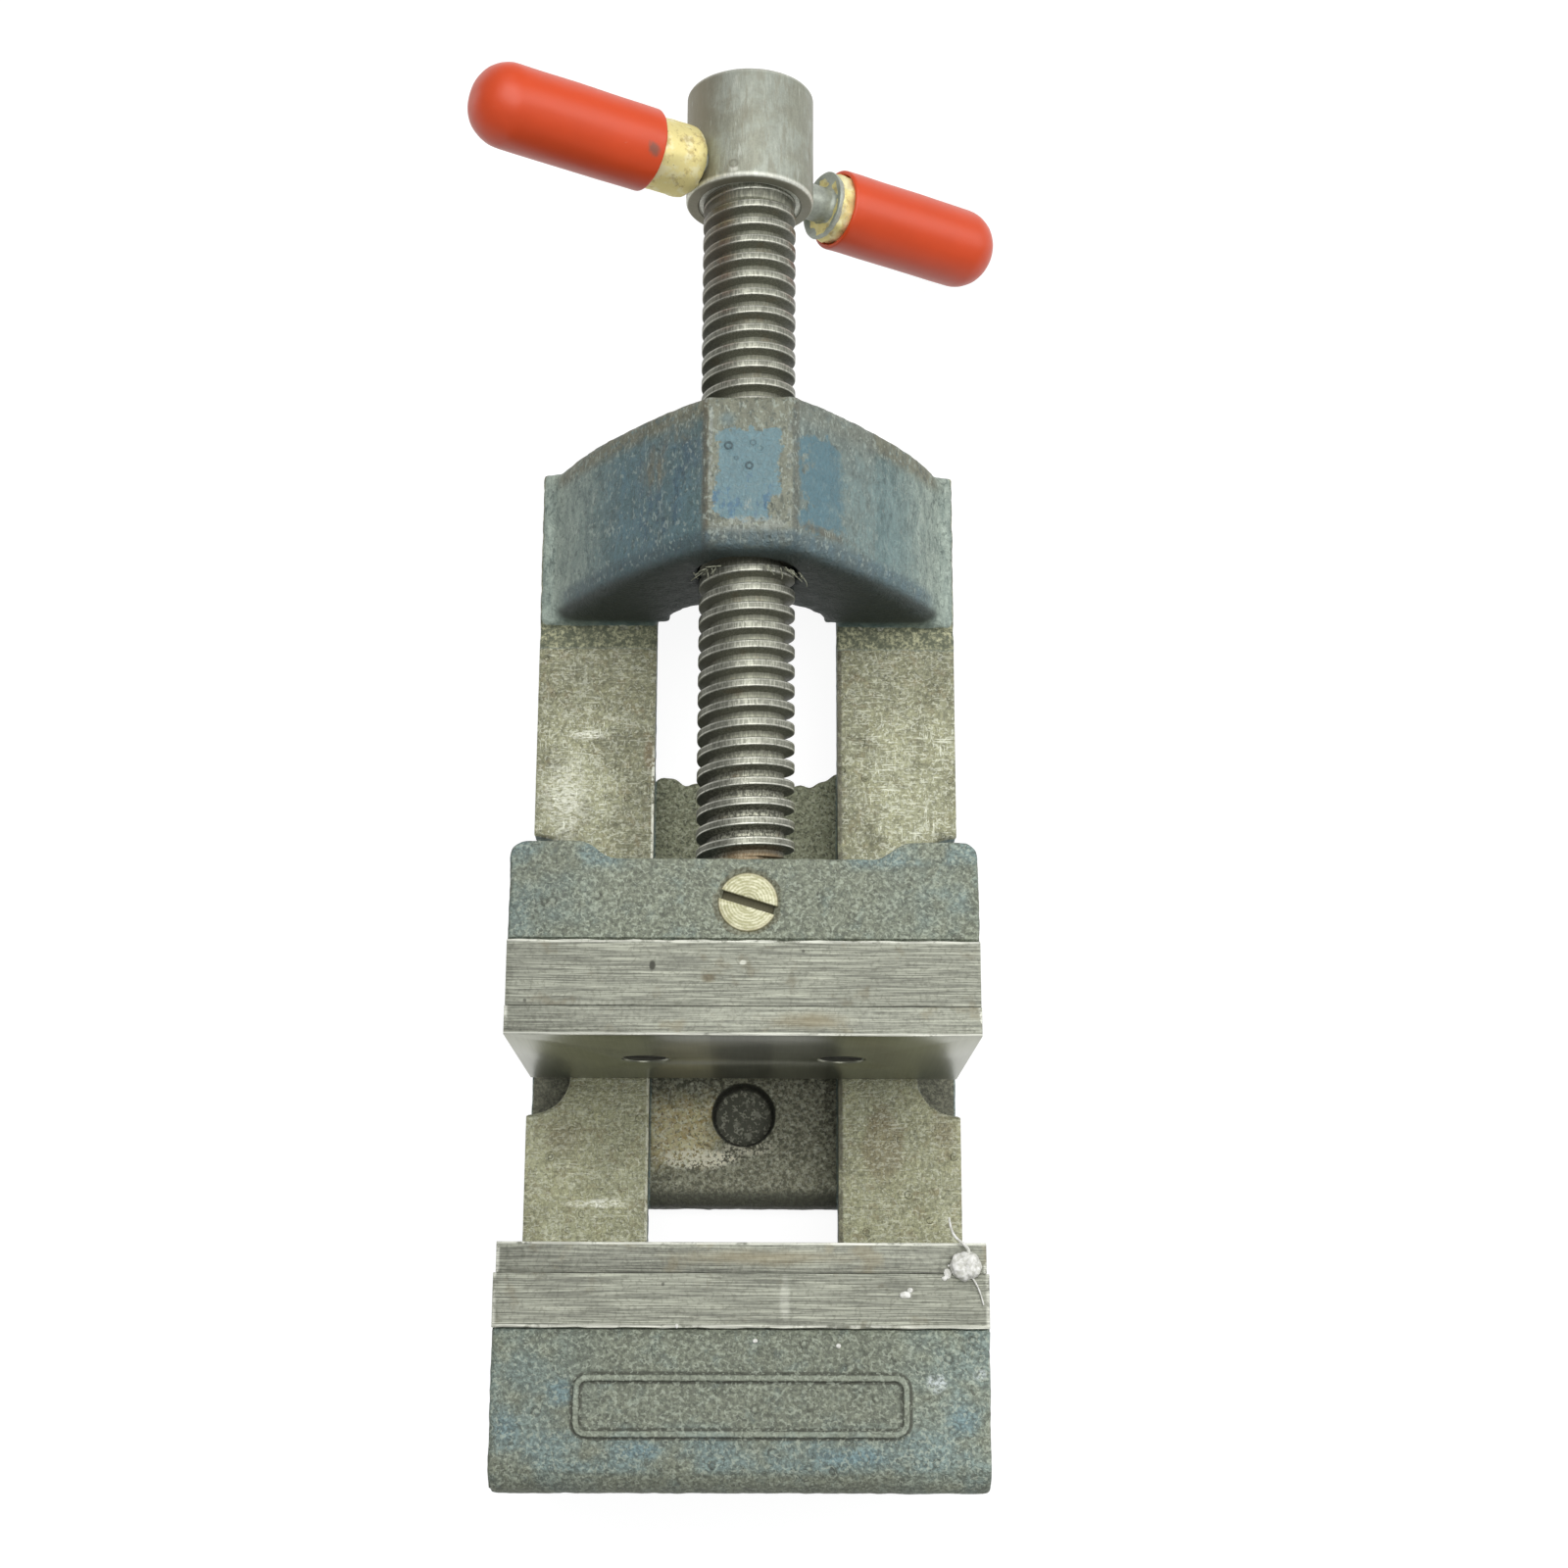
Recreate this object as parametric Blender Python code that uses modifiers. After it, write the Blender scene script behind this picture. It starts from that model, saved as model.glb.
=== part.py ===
"""Drill press vise: cast body with two rails, sliding jaw, lead screw and tommy bar.

Metres, +Z up. The origin is the centre of the base's underside, +Y runs from the
fixed jaw to the handle, and +X is to the right of someone who stands at the fixed jaw.
"""
import math

import bmesh
import bpy
from mathutils import Vector

OBJECT_NAME = "drill_press_vise"

# Fits between pieces
CLEAR = 0.0003
EMBED = 0.0005
PASS = 0.002

# Base and rails
BASE_WIDTH = 0.0635
BASE_LENGTH = 0.1515
RAIL_HEIGHT = 0.014
RAIL_GAP = 0.0276
LIP_THICKNESS = 0.004
UNDERCUT_DEPTH = 0.003
BASE_CORNER_RADIUS = 0.0015

# Web that joins the rails, with its blind round seat
WEB_START = 0.0395
WEB_LENGTH = 0.0655
WEB_THICKNESS = 0.0055
WEB_EDGE_RADIUS = 0.0022
WEB_SEAT_DIAMETER = 0.0092
WEB_SEAT_INSET = 0.0136
WEB_SEAT_DEPTH = 0.004

# Clamping pockets in the outer side of each rail
POCKET_START = 0.0521
POCKET_LENGTH = 0.0416
POCKET_DEPTH = 0.0064
POCKET_RADIUS = 0.0058
FLANGE_THICKNESS = 0.005

# Jaws, whose sides stand in a little from the sides of the base
PLATE_INSET = 0.00055
JAW_HEIGHT = 0.042
FIXED_JAW_INSET = 0.00025
FIXED_JAW_THICKNESS = 0.027
FIXED_PAD_WIDTH = 0.0068
FIXED_TOP_RADIUS = 0.004
FIXED_CORNER_RADIUS = 0.0018
PLATE_THICKNESS = 0.0036
OPENING = 0.0265
MOVING_JAW_INSET = 0.00065
MOVING_JAW_THICKNESS = 0.0199
MOVING_PAD_WIDTH = 0.0087
PAD_HEIGHT = 0.0004
EAR_WIDTH = 0.0091
EAR_BLEND = 0.0048
EAR_REACH = 0.0023
EAR_CORNER_RADIUS = 0.002
MOVING_TOP_RADIUS = 0.0018
PLATE_SCREW_SPACING = 0.0272
PLATE_SCREW_HEIGHT = 0.020
PLATE_SCREW_HEAD_DIAMETER = 0.0062
PLATE_SCREW_SHANK_DIAMETER = 0.003
PLATE_SCREW_HEAD_HEIGHT = 0.0016
PLATE_SCREW_LENGTH = 0.009
PLATE_SCREW_SINK = 0.0002
FIXED_SLOT_ANGLES = (20.0, -35.0)
MOVING_SLOT_ANGLES = (15.0, 10.0)
SMALL_SLOT_WIDTH = 0.0008
SMALL_SLOT_DEPTH = 0.0007

# Keeper under the sliding jaw
KEEPER_FRONT_INSET = 0.0005
KEEPER_LENGTH = 0.0285
KEEPER_THICKNESS = 0.003
TONGUE_INSET = 0.001
KEEPER_SCREW_INSET = 0.005
KEEPER_SCREW_SPACING = 0.010
KEEPER_SCREW_HEAD_DIAMETER = 0.0066
KEEPER_SCREW_SHANK_DIAMETER = 0.0036
KEEPER_SCREW_HEAD_HEIGHT = 0.0016
KEEPER_SCREW_LENGTH = 0.009

# Brass retaining screw in the top of the sliding jaw
RETAINER_DIAMETER = 0.0079
RETAINER_HEAD_LENGTH = 0.008
RETAINER_SHANK_DIAMETER = 0.004
RETAINER_INSET = 0.006
RETAINER_OFFSET = 0.0005
RETAINER_SLOT_WIDTH = 0.0012
RETAINER_SLOT_DEPTH = 0.0012
RETAINER_SLOT_ANGLE = -17.0

# Yoke at the rear, which carries the screw
YOKE_THICKNESS = 0.0246
YOKE_HEIGHT = 0.0314
YOKE_FLAT_WIDTH = 0.0127
YOKE_FLAT_OFFSET = 0.0003
YOKE_FOOT_HEIGHT = 0.0013
YOKE_END_HEIGHT = 0.0007
YOKE_END_WIDTH = 0.002
YOKE_BULGE = 0.0016
YOKE_LEAN = 0.0016
YOKE_FRONT_RADIUS = 0.0022
YOKE_REAR_RADIUS = 0.0012
ARCH_WIDTH = 0.0238
ARCH_HEIGHT = 0.0095
ARCH_STEP = 0.0016

# Lead screw
AXIS_HEIGHT = 0.020
SCREW_DIAMETER = 0.014
THREAD_PITCH = 0.00287
THREAD_DEPTH = 0.0015
THREAD_CREST_SHARE = 0.42
THREAD_FLANK_SHARE = 0.13
THREAD_TURN_ANGLE = 0.0
NOSE_DIAMETER = 0.010
NOSE_LENGTH = 0.013
NOSE_GROOVE_DIAMETER = 0.0066
NOSE_GROOVE_WIDTH = 0.0046
NOSE_CHAMFER = 0.0008
HUB_GAP = 0.0359
HUB_DIAMETER = 0.0193
HUB_LENGTH = 0.0181
HUB_CHAMFER = 0.0006
HUB_RECESS_DIAMETER = 0.0154
HUB_RECESS_DEPTH = 0.0005
CROSS_HOLE_INSET = 0.0041

# Tommy bar with its collars, sleeves and grip caps
BAR_DIAMETER = 0.0055
BAR_TILT = 32.2
GRIP_DIAMETER = 0.0124
GRIP_WALL_END = 0.006
GRIP_LIP = 0.0006
SLEEVE_DIAMETER = 0.0104
SLEEVE_WALL = 0.0006
SLEEVE_TUCK = 0.006
COLLAR_DISH_DEPTH = 0.0007
LEFT_SLEEVE_SHOWN = 0.0068
LEFT_GRIP_LENGTH = 0.0302
RIGHT_COLLAR_GAP = 0.0036
RIGHT_COLLAR_LENGTH = 0.0019
RIGHT_SLEEVE_SHOWN = 0.0029
RIGHT_GRIP_LENGTH = 0.0269
SLEEVE_NOSE_RADIUS = 0.0018

# Facets per turn and per fillet
TURN_STEPS = 32
HUB_STEPS = 40
SMALL_STEPS = 24
THREAD_STEPS = 18
FILLET_STEPS = 3
LARGE_FILLET_STEPS = 5
ARC_STEPS = 6
DOME_STEPS = 8
SHARP_ANGLE = 0.4
GRID_DIGITS = 7

# Places that follow from the sizes
BASE_FRONT = -BASE_LENGTH / 2
BASE_REAR = BASE_LENGTH / 2
PLATE_WIDTH = BASE_WIDTH - 2 * PLATE_INSET
FIXED_JAW_WIDTH = BASE_WIDTH - 2 * FIXED_JAW_INSET
MOVING_JAW_WIDTH = BASE_WIDTH - 2 * MOVING_JAW_INSET
FIXED_FACE = BASE_FRONT + FIXED_JAW_THICKNESS
FIXED_PLATE_FACE = FIXED_FACE + CLEAR + PLATE_THICKNESS
MOVING_PLATE_FACE = FIXED_PLATE_FACE + OPENING
MOVING_FACE = MOVING_PLATE_FACE + PLATE_THICKNESS + CLEAR
MOVING_REAR = MOVING_FACE + MOVING_JAW_THICKNESS
JAW_TOP = RAIL_HEIGHT + JAW_HEIGHT
CAST_TOP = JAW_TOP - PAD_HEIGHT
LIP_BOTTOM = RAIL_HEIGHT - LIP_THICKNESS
KEEPER_BOTTOM = LIP_BOTTOM - CLEAR - KEEPER_THICKNESS
AXIS_Z = RAIL_HEIGHT + AXIS_HEIGHT
SCREW_START = MOVING_REAR + CLEAR
HUB_START = BASE_REAR + HUB_GAP
THREAD_LENGTH = HUB_START - SCREW_START
BAR_Y = HUB_START + CROSS_HOLE_INSET
RETAINER_Y = MOVING_REAR - RETAINER_INSET
PLATE_SCREW_Z = RAIL_HEIGHT + PLATE_SCREW_HEIGHT
BORE_DEPTH = CLEAR + NOSE_LENGTH + CLEAR

MATERIALS = {
    "cast_iron": ((0.20, 0.21, 0.19, 1.0), 0.55, 0.6),
    "ground_steel": ((0.45, 0.45, 0.42, 1.0), 0.28, 1.0),
    "screw_steel": ((0.33, 0.32, 0.29, 1.0), 0.34, 1.0),
    "dark_steel": ((0.14, 0.14, 0.13, 1.0), 0.5, 1.0),
    "brass": ((0.68, 0.58, 0.32, 1.0), 0.35, 1.0),
    "red_vinyl": ((0.62, 0.05, 0.02, 1.0), 0.3, 0.0),
}


def clear_scene():
    for item in list(bpy.data.objects):
        bpy.data.objects.remove(item, do_unlink=True)


def make_collection(name):
    collection = bpy.data.collections.new(name)
    bpy.context.scene.collection.children.link(collection)
    return collection


def make_material(name):
    color, roughness, metallic = MATERIALS[name]
    material = bpy.data.materials.new(name)
    material.use_nodes = True
    shader = material.node_tree.nodes["Principled BSDF"]
    shader.inputs["Base Color"].default_value = color
    shader.inputs["Roughness"].default_value = roughness
    shader.inputs["Metallic"].default_value = metallic
    return material


class Workshop:
    """Keeps the two collections and the materials, and hands out objects."""

    def __init__(self):
        self.parts = make_collection(OBJECT_NAME)
        self.cutters = make_collection("cutters")
        self.materials = {name: make_material(name) for name in MATERIALS}

    def part(self, item, material):
        item.data.materials.clear()
        item.data.materials.append(self.materials[material])
        self.parts.objects.link(item)
        return item

    def cutter(self, item):
        item.hide_render = True
        item.display_type = "WIRE"
        self.cutters.objects.link(item)
        return item


def object_from(name, bm):
    """An object from a bmesh. Points go on a fine grid, so faces meant to be flush are."""
    for vert in bm.verts:
        vert.co = [round(value, GRID_DIGITS) for value in vert.co]
    mesh = bpy.data.meshes.new(name)
    bm.to_mesh(mesh)
    bm.free()
    return bpy.data.objects.new(name, mesh)


def box_mesh(low, high):
    bm = bmesh.new()
    bmesh.ops.create_cube(bm, size=1.0)
    low = Vector(low)
    high = Vector(high)
    bmesh.ops.scale(bm, vec=high - low, verts=bm.verts)
    bmesh.ops.translate(bm, vec=(low + high) / 2, verts=bm.verts)
    return bm


def box(name, low, high):
    return object_from(name, box_mesh(low, high))


def round_edges(bm, test, radius, steps=FILLET_STEPS):
    """Fillets the sharp edges whose ends and middle pass the test."""
    edges = []
    for edge in bm.edges:
        first, second = (vert.co for vert in edge.verts)
        sharp = edge.calc_face_angle(0.0) > SHARP_ANGLE
        if sharp and test(first) and test(second) and test((first + second) / 2):
            edges.append(edge)
    bmesh.ops.bevel(bm, geom=edges, offset=radius, segments=steps, profile=0.5,
                    affect="EDGES", clamp_overlap=True)


def near(value, target):
    return abs(value - target) < 1e-6


def extruded(name, outline, low, high):
    """A flat outline in X and Y as a filled 2D curve, extruded from low to high in Z."""
    curve = bpy.data.curves.new(name + "_outline", "CURVE")
    curve.dimensions = "2D"
    curve.fill_mode = "BOTH"
    curve.extrude = (high - low) / 2
    spline = curve.splines.new("POLY")
    spline.points.add(len(outline) - 1)
    for point, (x, y) in zip(spline.points, outline):
        point.co = (x, y, 0.0, 1.0)
    spline.use_cyclic_u = True
    guide = bpy.data.objects.new(name + "_outline", curve)
    bpy.context.scene.collection.objects.link(guide)
    bpy.context.view_layer.update()
    evaluated = guide.evaluated_get(bpy.context.evaluated_depsgraph_get())
    mesh = bpy.data.meshes.new_from_object(evaluated)
    bm = bmesh.new()
    bm.from_mesh(mesh)
    bmesh.ops.remove_doubles(bm, verts=bm.verts, dist=1e-6)
    bmesh.ops.dissolve_degenerate(bm, dist=1e-6, edges=bm.edges)
    bmesh.ops.dissolve_limit(bm, angle_limit=1e-4, verts=bm.verts, edges=bm.edges)
    bmesh.ops.recalc_face_normals(bm, faces=bm.faces)
    bmesh.ops.translate(bm, vec=(0, 0, (low + high) / 2), verts=bm.verts)
    bpy.data.objects.remove(guide, do_unlink=True)
    bpy.data.meshes.remove(mesh)
    return bm


def arc(center, radius, start, end, steps=ARC_STEPS):
    """Points on an arc, angles in degrees."""
    points = []
    for index in range(steps + 1):
        angle = math.radians(start + (end - start) * index / steps)
        points.append((center[0] + radius * math.cos(angle), center[1] + radius * math.sin(angle)))
    return points


def turned(name, profile, steps=TURN_STEPS, closed=False):
    """A profile of (radius, height) pairs turned about local Z, outer side downwards."""
    bm = bmesh.new()
    verts = [bm.verts.new((radius, 0.0, height)) for radius, height in profile]
    pairs = list(zip(verts, verts[1:]))
    if closed:
        pairs.append((verts[-1], verts[0]))
    for first, second in pairs:
        bm.edges.new((first, second))
    item = object_from(name, bm)
    screw = item.modifiers.new("Turn", "SCREW")
    screw.axis = "Z"
    screw.angle = math.tau
    screw.steps = steps
    screw.render_steps = steps
    screw.use_merge_vertices = True
    screw.merge_threshold = 0.00001
    return item


def place(item, location, rotation=(0.0, 0.0, 0.0), parent=None):
    item.location = location
    item.rotation_euler = [math.radians(angle) for angle in rotation]
    if parent is not None:
        item.parent = parent
    return item


def rod(name, radius, low, high, steps=TURN_STEPS):
    return turned(name, [(0.0, high), (radius, high), (radius, low), (0.0, low)], steps)


def boolean(item, operand, operation="DIFFERENCE"):
    modifier = item.modifiers.new(operand.name, "BOOLEAN")
    modifier.operation = operation
    modifier.solver = "EXACT"
    modifier.object = operand
    return item


def empty(name, location, rotation, collection):
    item = bpy.data.objects.new(name, None)
    collection.objects.link(item)
    return place(item, location, rotation)


def yoke_shoulder(side):
    """One shoulder from the flat top down to the end of the yoke, side 1 right and -1 left."""
    half = BASE_WIDTH / 2
    start = Vector((YOKE_FLAT_OFFSET + side * YOKE_FLAT_WIDTH / 2, RAIL_HEIGHT + YOKE_HEIGHT))
    finish = Vector((side * (half - YOKE_END_WIDTH), RAIL_HEIGHT + YOKE_FOOT_HEIGHT))
    run = finish - start
    outwards = Vector((-run.y, run.x)).normalized() * side
    points = []
    for index in range(ARC_STEPS + 1):
        share = index / ARC_STEPS
        point = start + run * share + outwards * (YOKE_BULGE * 4 * share * (1 - share))
        points.append((point.x, point.y))
    points.append((side * half, RAIL_HEIGHT + YOKE_END_HEIGHT))
    points.append((side * half, RAIL_HEIGHT - EMBED))
    return points


def yoke_outline():
    """Front view of the yoke in X and Z: flat top, bulged shoulders, low ends."""
    return yoke_shoulder(1) + yoke_shoulder(-1)[::-1]


def make_yoke(shop):
    bm = extruded("yoke", yoke_outline(), 0.0, YOKE_THICKNESS)
    for vert in bm.verts:
        x, z, depth = vert.co
        height_share = (z - RAIL_HEIGHT) / YOKE_HEIGHT
        lean = YOKE_LEAN * height_share if near(depth, YOKE_THICKNESS) else 0.0
        vert.co = (x, BASE_REAR - depth + lean, z)
    bmesh.ops.recalc_face_normals(bm, faces=bm.faces)
    front = BASE_REAR - YOKE_THICKNESS
    shoulder_end = BASE_WIDTH / 2 - YOKE_END_WIDTH

    def on_shoulders(co):
        return abs(co.x) < shoulder_end + 1e-6 and co.z > RAIL_HEIGHT

    round_edges(bm, lambda co: on_shoulders(co) and co.y < front + YOKE_LEAN + 1e-6,
                YOKE_FRONT_RADIUS)
    round_edges(bm, lambda co: on_shoulders(co) and near(co.y, BASE_REAR), YOKE_REAR_RADIUS)
    return shop.cutter(object_from("yoke", bm))


def make_fixed_block(shop):
    half = FIXED_JAW_WIDTH / 2
    bm = box_mesh((-half, BASE_FRONT, 0.0), (half, FIXED_FACE, CAST_TOP))
    round_edges(bm, lambda co: near(co.y, BASE_FRONT) and near(co.z, CAST_TOP), FIXED_TOP_RADIUS,
                LARGE_FILLET_STEPS)
    sides = [edge for edge in bm.edges
             if abs(edge.verts[0].co.z - edge.verts[1].co.z) > FIXED_TOP_RADIUS
             and all(near(vert.co.y, BASE_FRONT) for vert in edge.verts)]
    bmesh.ops.bevel(bm, geom=sides, offset=FIXED_CORNER_RADIUS, segments=FILLET_STEPS,
                    profile=0.5, affect="EDGES", clamp_overlap=True)
    return shop.cutter(object_from("fixed_jaw_block", bm))


def make_base_slab():
    half = BASE_WIDTH / 2
    bm = box_mesh((-half, BASE_FRONT, 0.0), (half, BASE_REAR, RAIL_HEIGHT))
    corners = [edge for edge in bm.edges
               if abs(edge.verts[0].co.z - edge.verts[1].co.z) > EMBED
               and all(near(vert.co.y, BASE_FRONT) for vert in edge.verts)]
    bmesh.ops.bevel(bm, geom=corners, offset=BASE_CORNER_RADIUS, segments=FILLET_STEPS,
                    profile=0.5, affect="EDGES", clamp_overlap=True)
    return object_from("body_casting", bm)


def make_channel(shop, name, half, top):
    """Open space between the rails up to a height, above the web and right through beyond it."""
    web_front = BASE_FRONT + WEB_START
    web_rear = web_front + WEB_LENGTH
    outline = [
        (FIXED_FACE, -PASS),
        (web_front, -PASS),
        (web_front, WEB_THICKNESS - WEB_EDGE_RADIUS),
    ]
    outline += arc((web_front + WEB_EDGE_RADIUS, WEB_THICKNESS - WEB_EDGE_RADIUS),
                   WEB_EDGE_RADIUS, 180, 90, FILLET_STEPS)[1:]
    outline += [
        (web_rear, WEB_THICKNESS),
        (web_rear, -PASS),
        (BASE_REAR + PASS, -PASS),
        (BASE_REAR + PASS, top),
        (FIXED_FACE, top),
    ]
    bm = extruded(name, outline, -half, half)
    for vert in bm.verts:
        y, z, x = vert.co
        vert.co = (x, y, z)
    bmesh.ops.recalc_face_normals(bm, faces=bm.faces)
    return shop.cutter(object_from(name, bm))


def make_arch(shop):
    """Rounded underside of the yoke between the rails."""
    half = ARCH_WIDTH / 2
    base = RAIL_HEIGHT + ARCH_STEP
    rise = ARCH_HEIGHT - ARCH_STEP
    outline = []
    for index in range(2 * ARC_STEPS + 1):
        angle = math.pi * index / (2 * ARC_STEPS)
        outline.append((half * math.cos(angle), base + rise * math.sin(angle)))
    outline += [(-half, RAIL_HEIGHT - EMBED), (half, RAIL_HEIGHT - EMBED)]
    bm = extruded("arch", outline, -YOKE_THICKNESS - PASS, PASS)
    for vert in bm.verts:
        x, z, depth = vert.co
        vert.co = (x, BASE_REAR + depth, z)
    bmesh.ops.recalc_face_normals(bm, faces=bm.faces)
    return shop.cutter(object_from("arch", bm))


def make_pocket(shop, name, sign):
    """Clamping pocket in one rail: open to the side and above, on a low flange."""
    outer = BASE_WIDTH / 2 + PASS
    inner = BASE_WIDTH / 2 - POCKET_DEPTH
    front = BASE_FRONT + POCKET_START
    rear = front + POCKET_LENGTH
    outline = [(outer, front), (outer, rear)]
    outline += arc((inner + POCKET_RADIUS, rear - POCKET_RADIUS), POCKET_RADIUS, 90, 180)
    outline += arc((inner + POCKET_RADIUS, front + POCKET_RADIUS), POCKET_RADIUS, 180, 270)
    outline = [(sign * x, y) for x, y in outline]
    bm = extruded(name, outline, FLANGE_THICKNESS, RAIL_HEIGHT + PASS)
    return shop.cutter(object_from(name, bm))


def make_body_casting(shop):
    body = shop.part(make_base_slab(), "cast_iron")
    half_pad = FIXED_JAW_WIDTH / 2
    half_gap = RAIL_GAP / 2
    pad = shop.cutter(box("fixed_pad", (-half_pad, FIXED_FACE - FIXED_PAD_WIDTH, CAST_TOP - EMBED),
                          (half_pad, FIXED_FACE, JAW_TOP)))
    boolean(body, make_fixed_block(shop), "UNION")
    boolean(body, pad, "UNION")
    boolean(body, make_yoke(shop), "UNION")
    boolean(body, make_channel(shop, "channel", half_gap, RAIL_HEIGHT + ARCH_STEP))
    boolean(body, make_channel(shop, "undercut", half_gap + UNDERCUT_DEPTH, LIP_BOTTOM))
    boolean(body, make_arch(shop))
    for name, sign in (("pocket_left", -1), ("pocket_right", 1)):
        boolean(body, make_pocket(shop, name, sign))
    seat = shop.cutter(rod("web_seat", WEB_SEAT_DIAMETER / 2, WEB_THICKNESS - WEB_SEAT_DEPTH,
                           WEB_THICKNESS + PASS))
    place(seat, (0.0, BASE_FRONT + WEB_START + WEB_SEAT_INSET, 0.0))
    boolean(body, seat)
    bore = shop.cutter(rod("screw_bore", SCREW_DIAMETER / 2 + CLEAR, -YOKE_THICKNESS - PASS, PASS))
    place(bore, (0.0, BASE_REAR, AXIS_Z), (-90.0, 0.0, 0.0))
    boolean(body, bore)
    for index, x in enumerate(plate_screw_places(), 1):
        hole = plate_screw_cutter(shop, "fixed_pilot_%d" % index)
        place(hole, (x, FIXED_PLATE_FACE, PLATE_SCREW_Z), (-90.0, 0.0, 0.0))
        boolean(body, hole)
    return body


def plate_screw_places():
    return (-PLATE_SCREW_SPACING / 2, PLATE_SCREW_SPACING / 2)


def countersunk_profile(head, shank, head_height, length, grow=0.0):
    """Flat head at height 0 and shank below it. Grown by a clearance for its hole."""
    head_radius = head / 2 + grow
    shank_radius = shank / 2 + grow
    return [
        (0.0, 0.0),
        (head_radius, 0.0),
        (shank_radius, -head_height),
        (shank_radius, -length - grow),
        (0.0, -length - grow),
    ]


def plate_screw_cutter(shop, name):
    """Hole for a plate screw: its countersink at local Z 0, open above."""
    profile = countersunk_profile(PLATE_SCREW_HEAD_DIAMETER, PLATE_SCREW_SHANK_DIAMETER,
                                  PLATE_SCREW_HEAD_HEIGHT, PLATE_SCREW_LENGTH, CLEAR)
    top = (PLATE_SCREW_HEAD_DIAMETER / 2 + CLEAR, PASS)
    profile = [(0.0, PASS), top] + [(r, h - PLATE_SCREW_SINK) for r, h in profile[1:]]
    return shop.cutter(turned(name, profile, SMALL_STEPS))


def make_slot(shop, name, width, depth, reach, frame):
    """Driver slot across a screw head whose top is at local Z 0."""
    slot = shop.cutter(box(name, (-reach, -width / 2, -depth), (reach, width / 2, PASS)))
    location, rotation = frame
    return place(slot, location, rotation)


def make_plate(shop, name, low_y, high_y, face_y, turn):
    """Ground jaw plate with two countersunk holes opening at face_y."""
    half = PLATE_WIDTH / 2
    plate = shop.part(box(name, (-half, low_y, RAIL_HEIGHT + CLEAR), (half, high_y, JAW_TOP)),
                      "ground_steel")
    for index, x in enumerate(plate_screw_places(), 1):
        hole = plate_screw_cutter(shop, "%s_hole_%d" % (name, index))
        place(hole, (x, face_y, PLATE_SCREW_Z), (turn, 0.0, 0.0))
        boolean(plate, hole)
    return plate


def make_plate_screws(shop, stem, face_y, turn, slot_turns):
    sink = math.copysign(PLATE_SCREW_SINK, turn)
    for index, x in enumerate(plate_screw_places(), 1):
        name = "%s_%d" % (stem, index)
        profile = countersunk_profile(PLATE_SCREW_HEAD_DIAMETER, PLATE_SCREW_SHANK_DIAMETER,
                                      PLATE_SCREW_HEAD_HEIGHT, PLATE_SCREW_LENGTH)
        frame = ((x, face_y + sink, PLATE_SCREW_Z), (turn, slot_turns[index - 1], 0.0))
        screw = shop.part(turned(name, profile, SMALL_STEPS), "dark_steel")
        place(screw, *frame)
        slot = make_slot(shop, name + "_slot", SMALL_SLOT_WIDTH, SMALL_SLOT_DEPTH,
                         PLATE_SCREW_HEAD_DIAMETER, frame)
        boolean(screw, slot)


def moving_jaw_outline():
    """Plan of the sliding jaw: straight front, ears at the rear corners."""
    half = MOVING_JAW_WIDTH / 2
    ear_rear = MOVING_REAR + EAR_REACH
    corner = (half - EAR_CORNER_RADIUS, ear_rear - EAR_CORNER_RADIUS)
    right = [(half, MOVING_FACE)]
    right += arc(corner, EAR_CORNER_RADIUS, 0, 90, FILLET_STEPS)
    for index in range(ARC_STEPS + 1):
        share = index / ARC_STEPS
        drop = EAR_REACH * (1 - math.cos(math.pi * share)) / 2
        right.append((half - EAR_WIDTH - EAR_BLEND * share, ear_rear - drop))
    left = [(-x, y) for x, y in reversed(right)]
    return right + left


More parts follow.
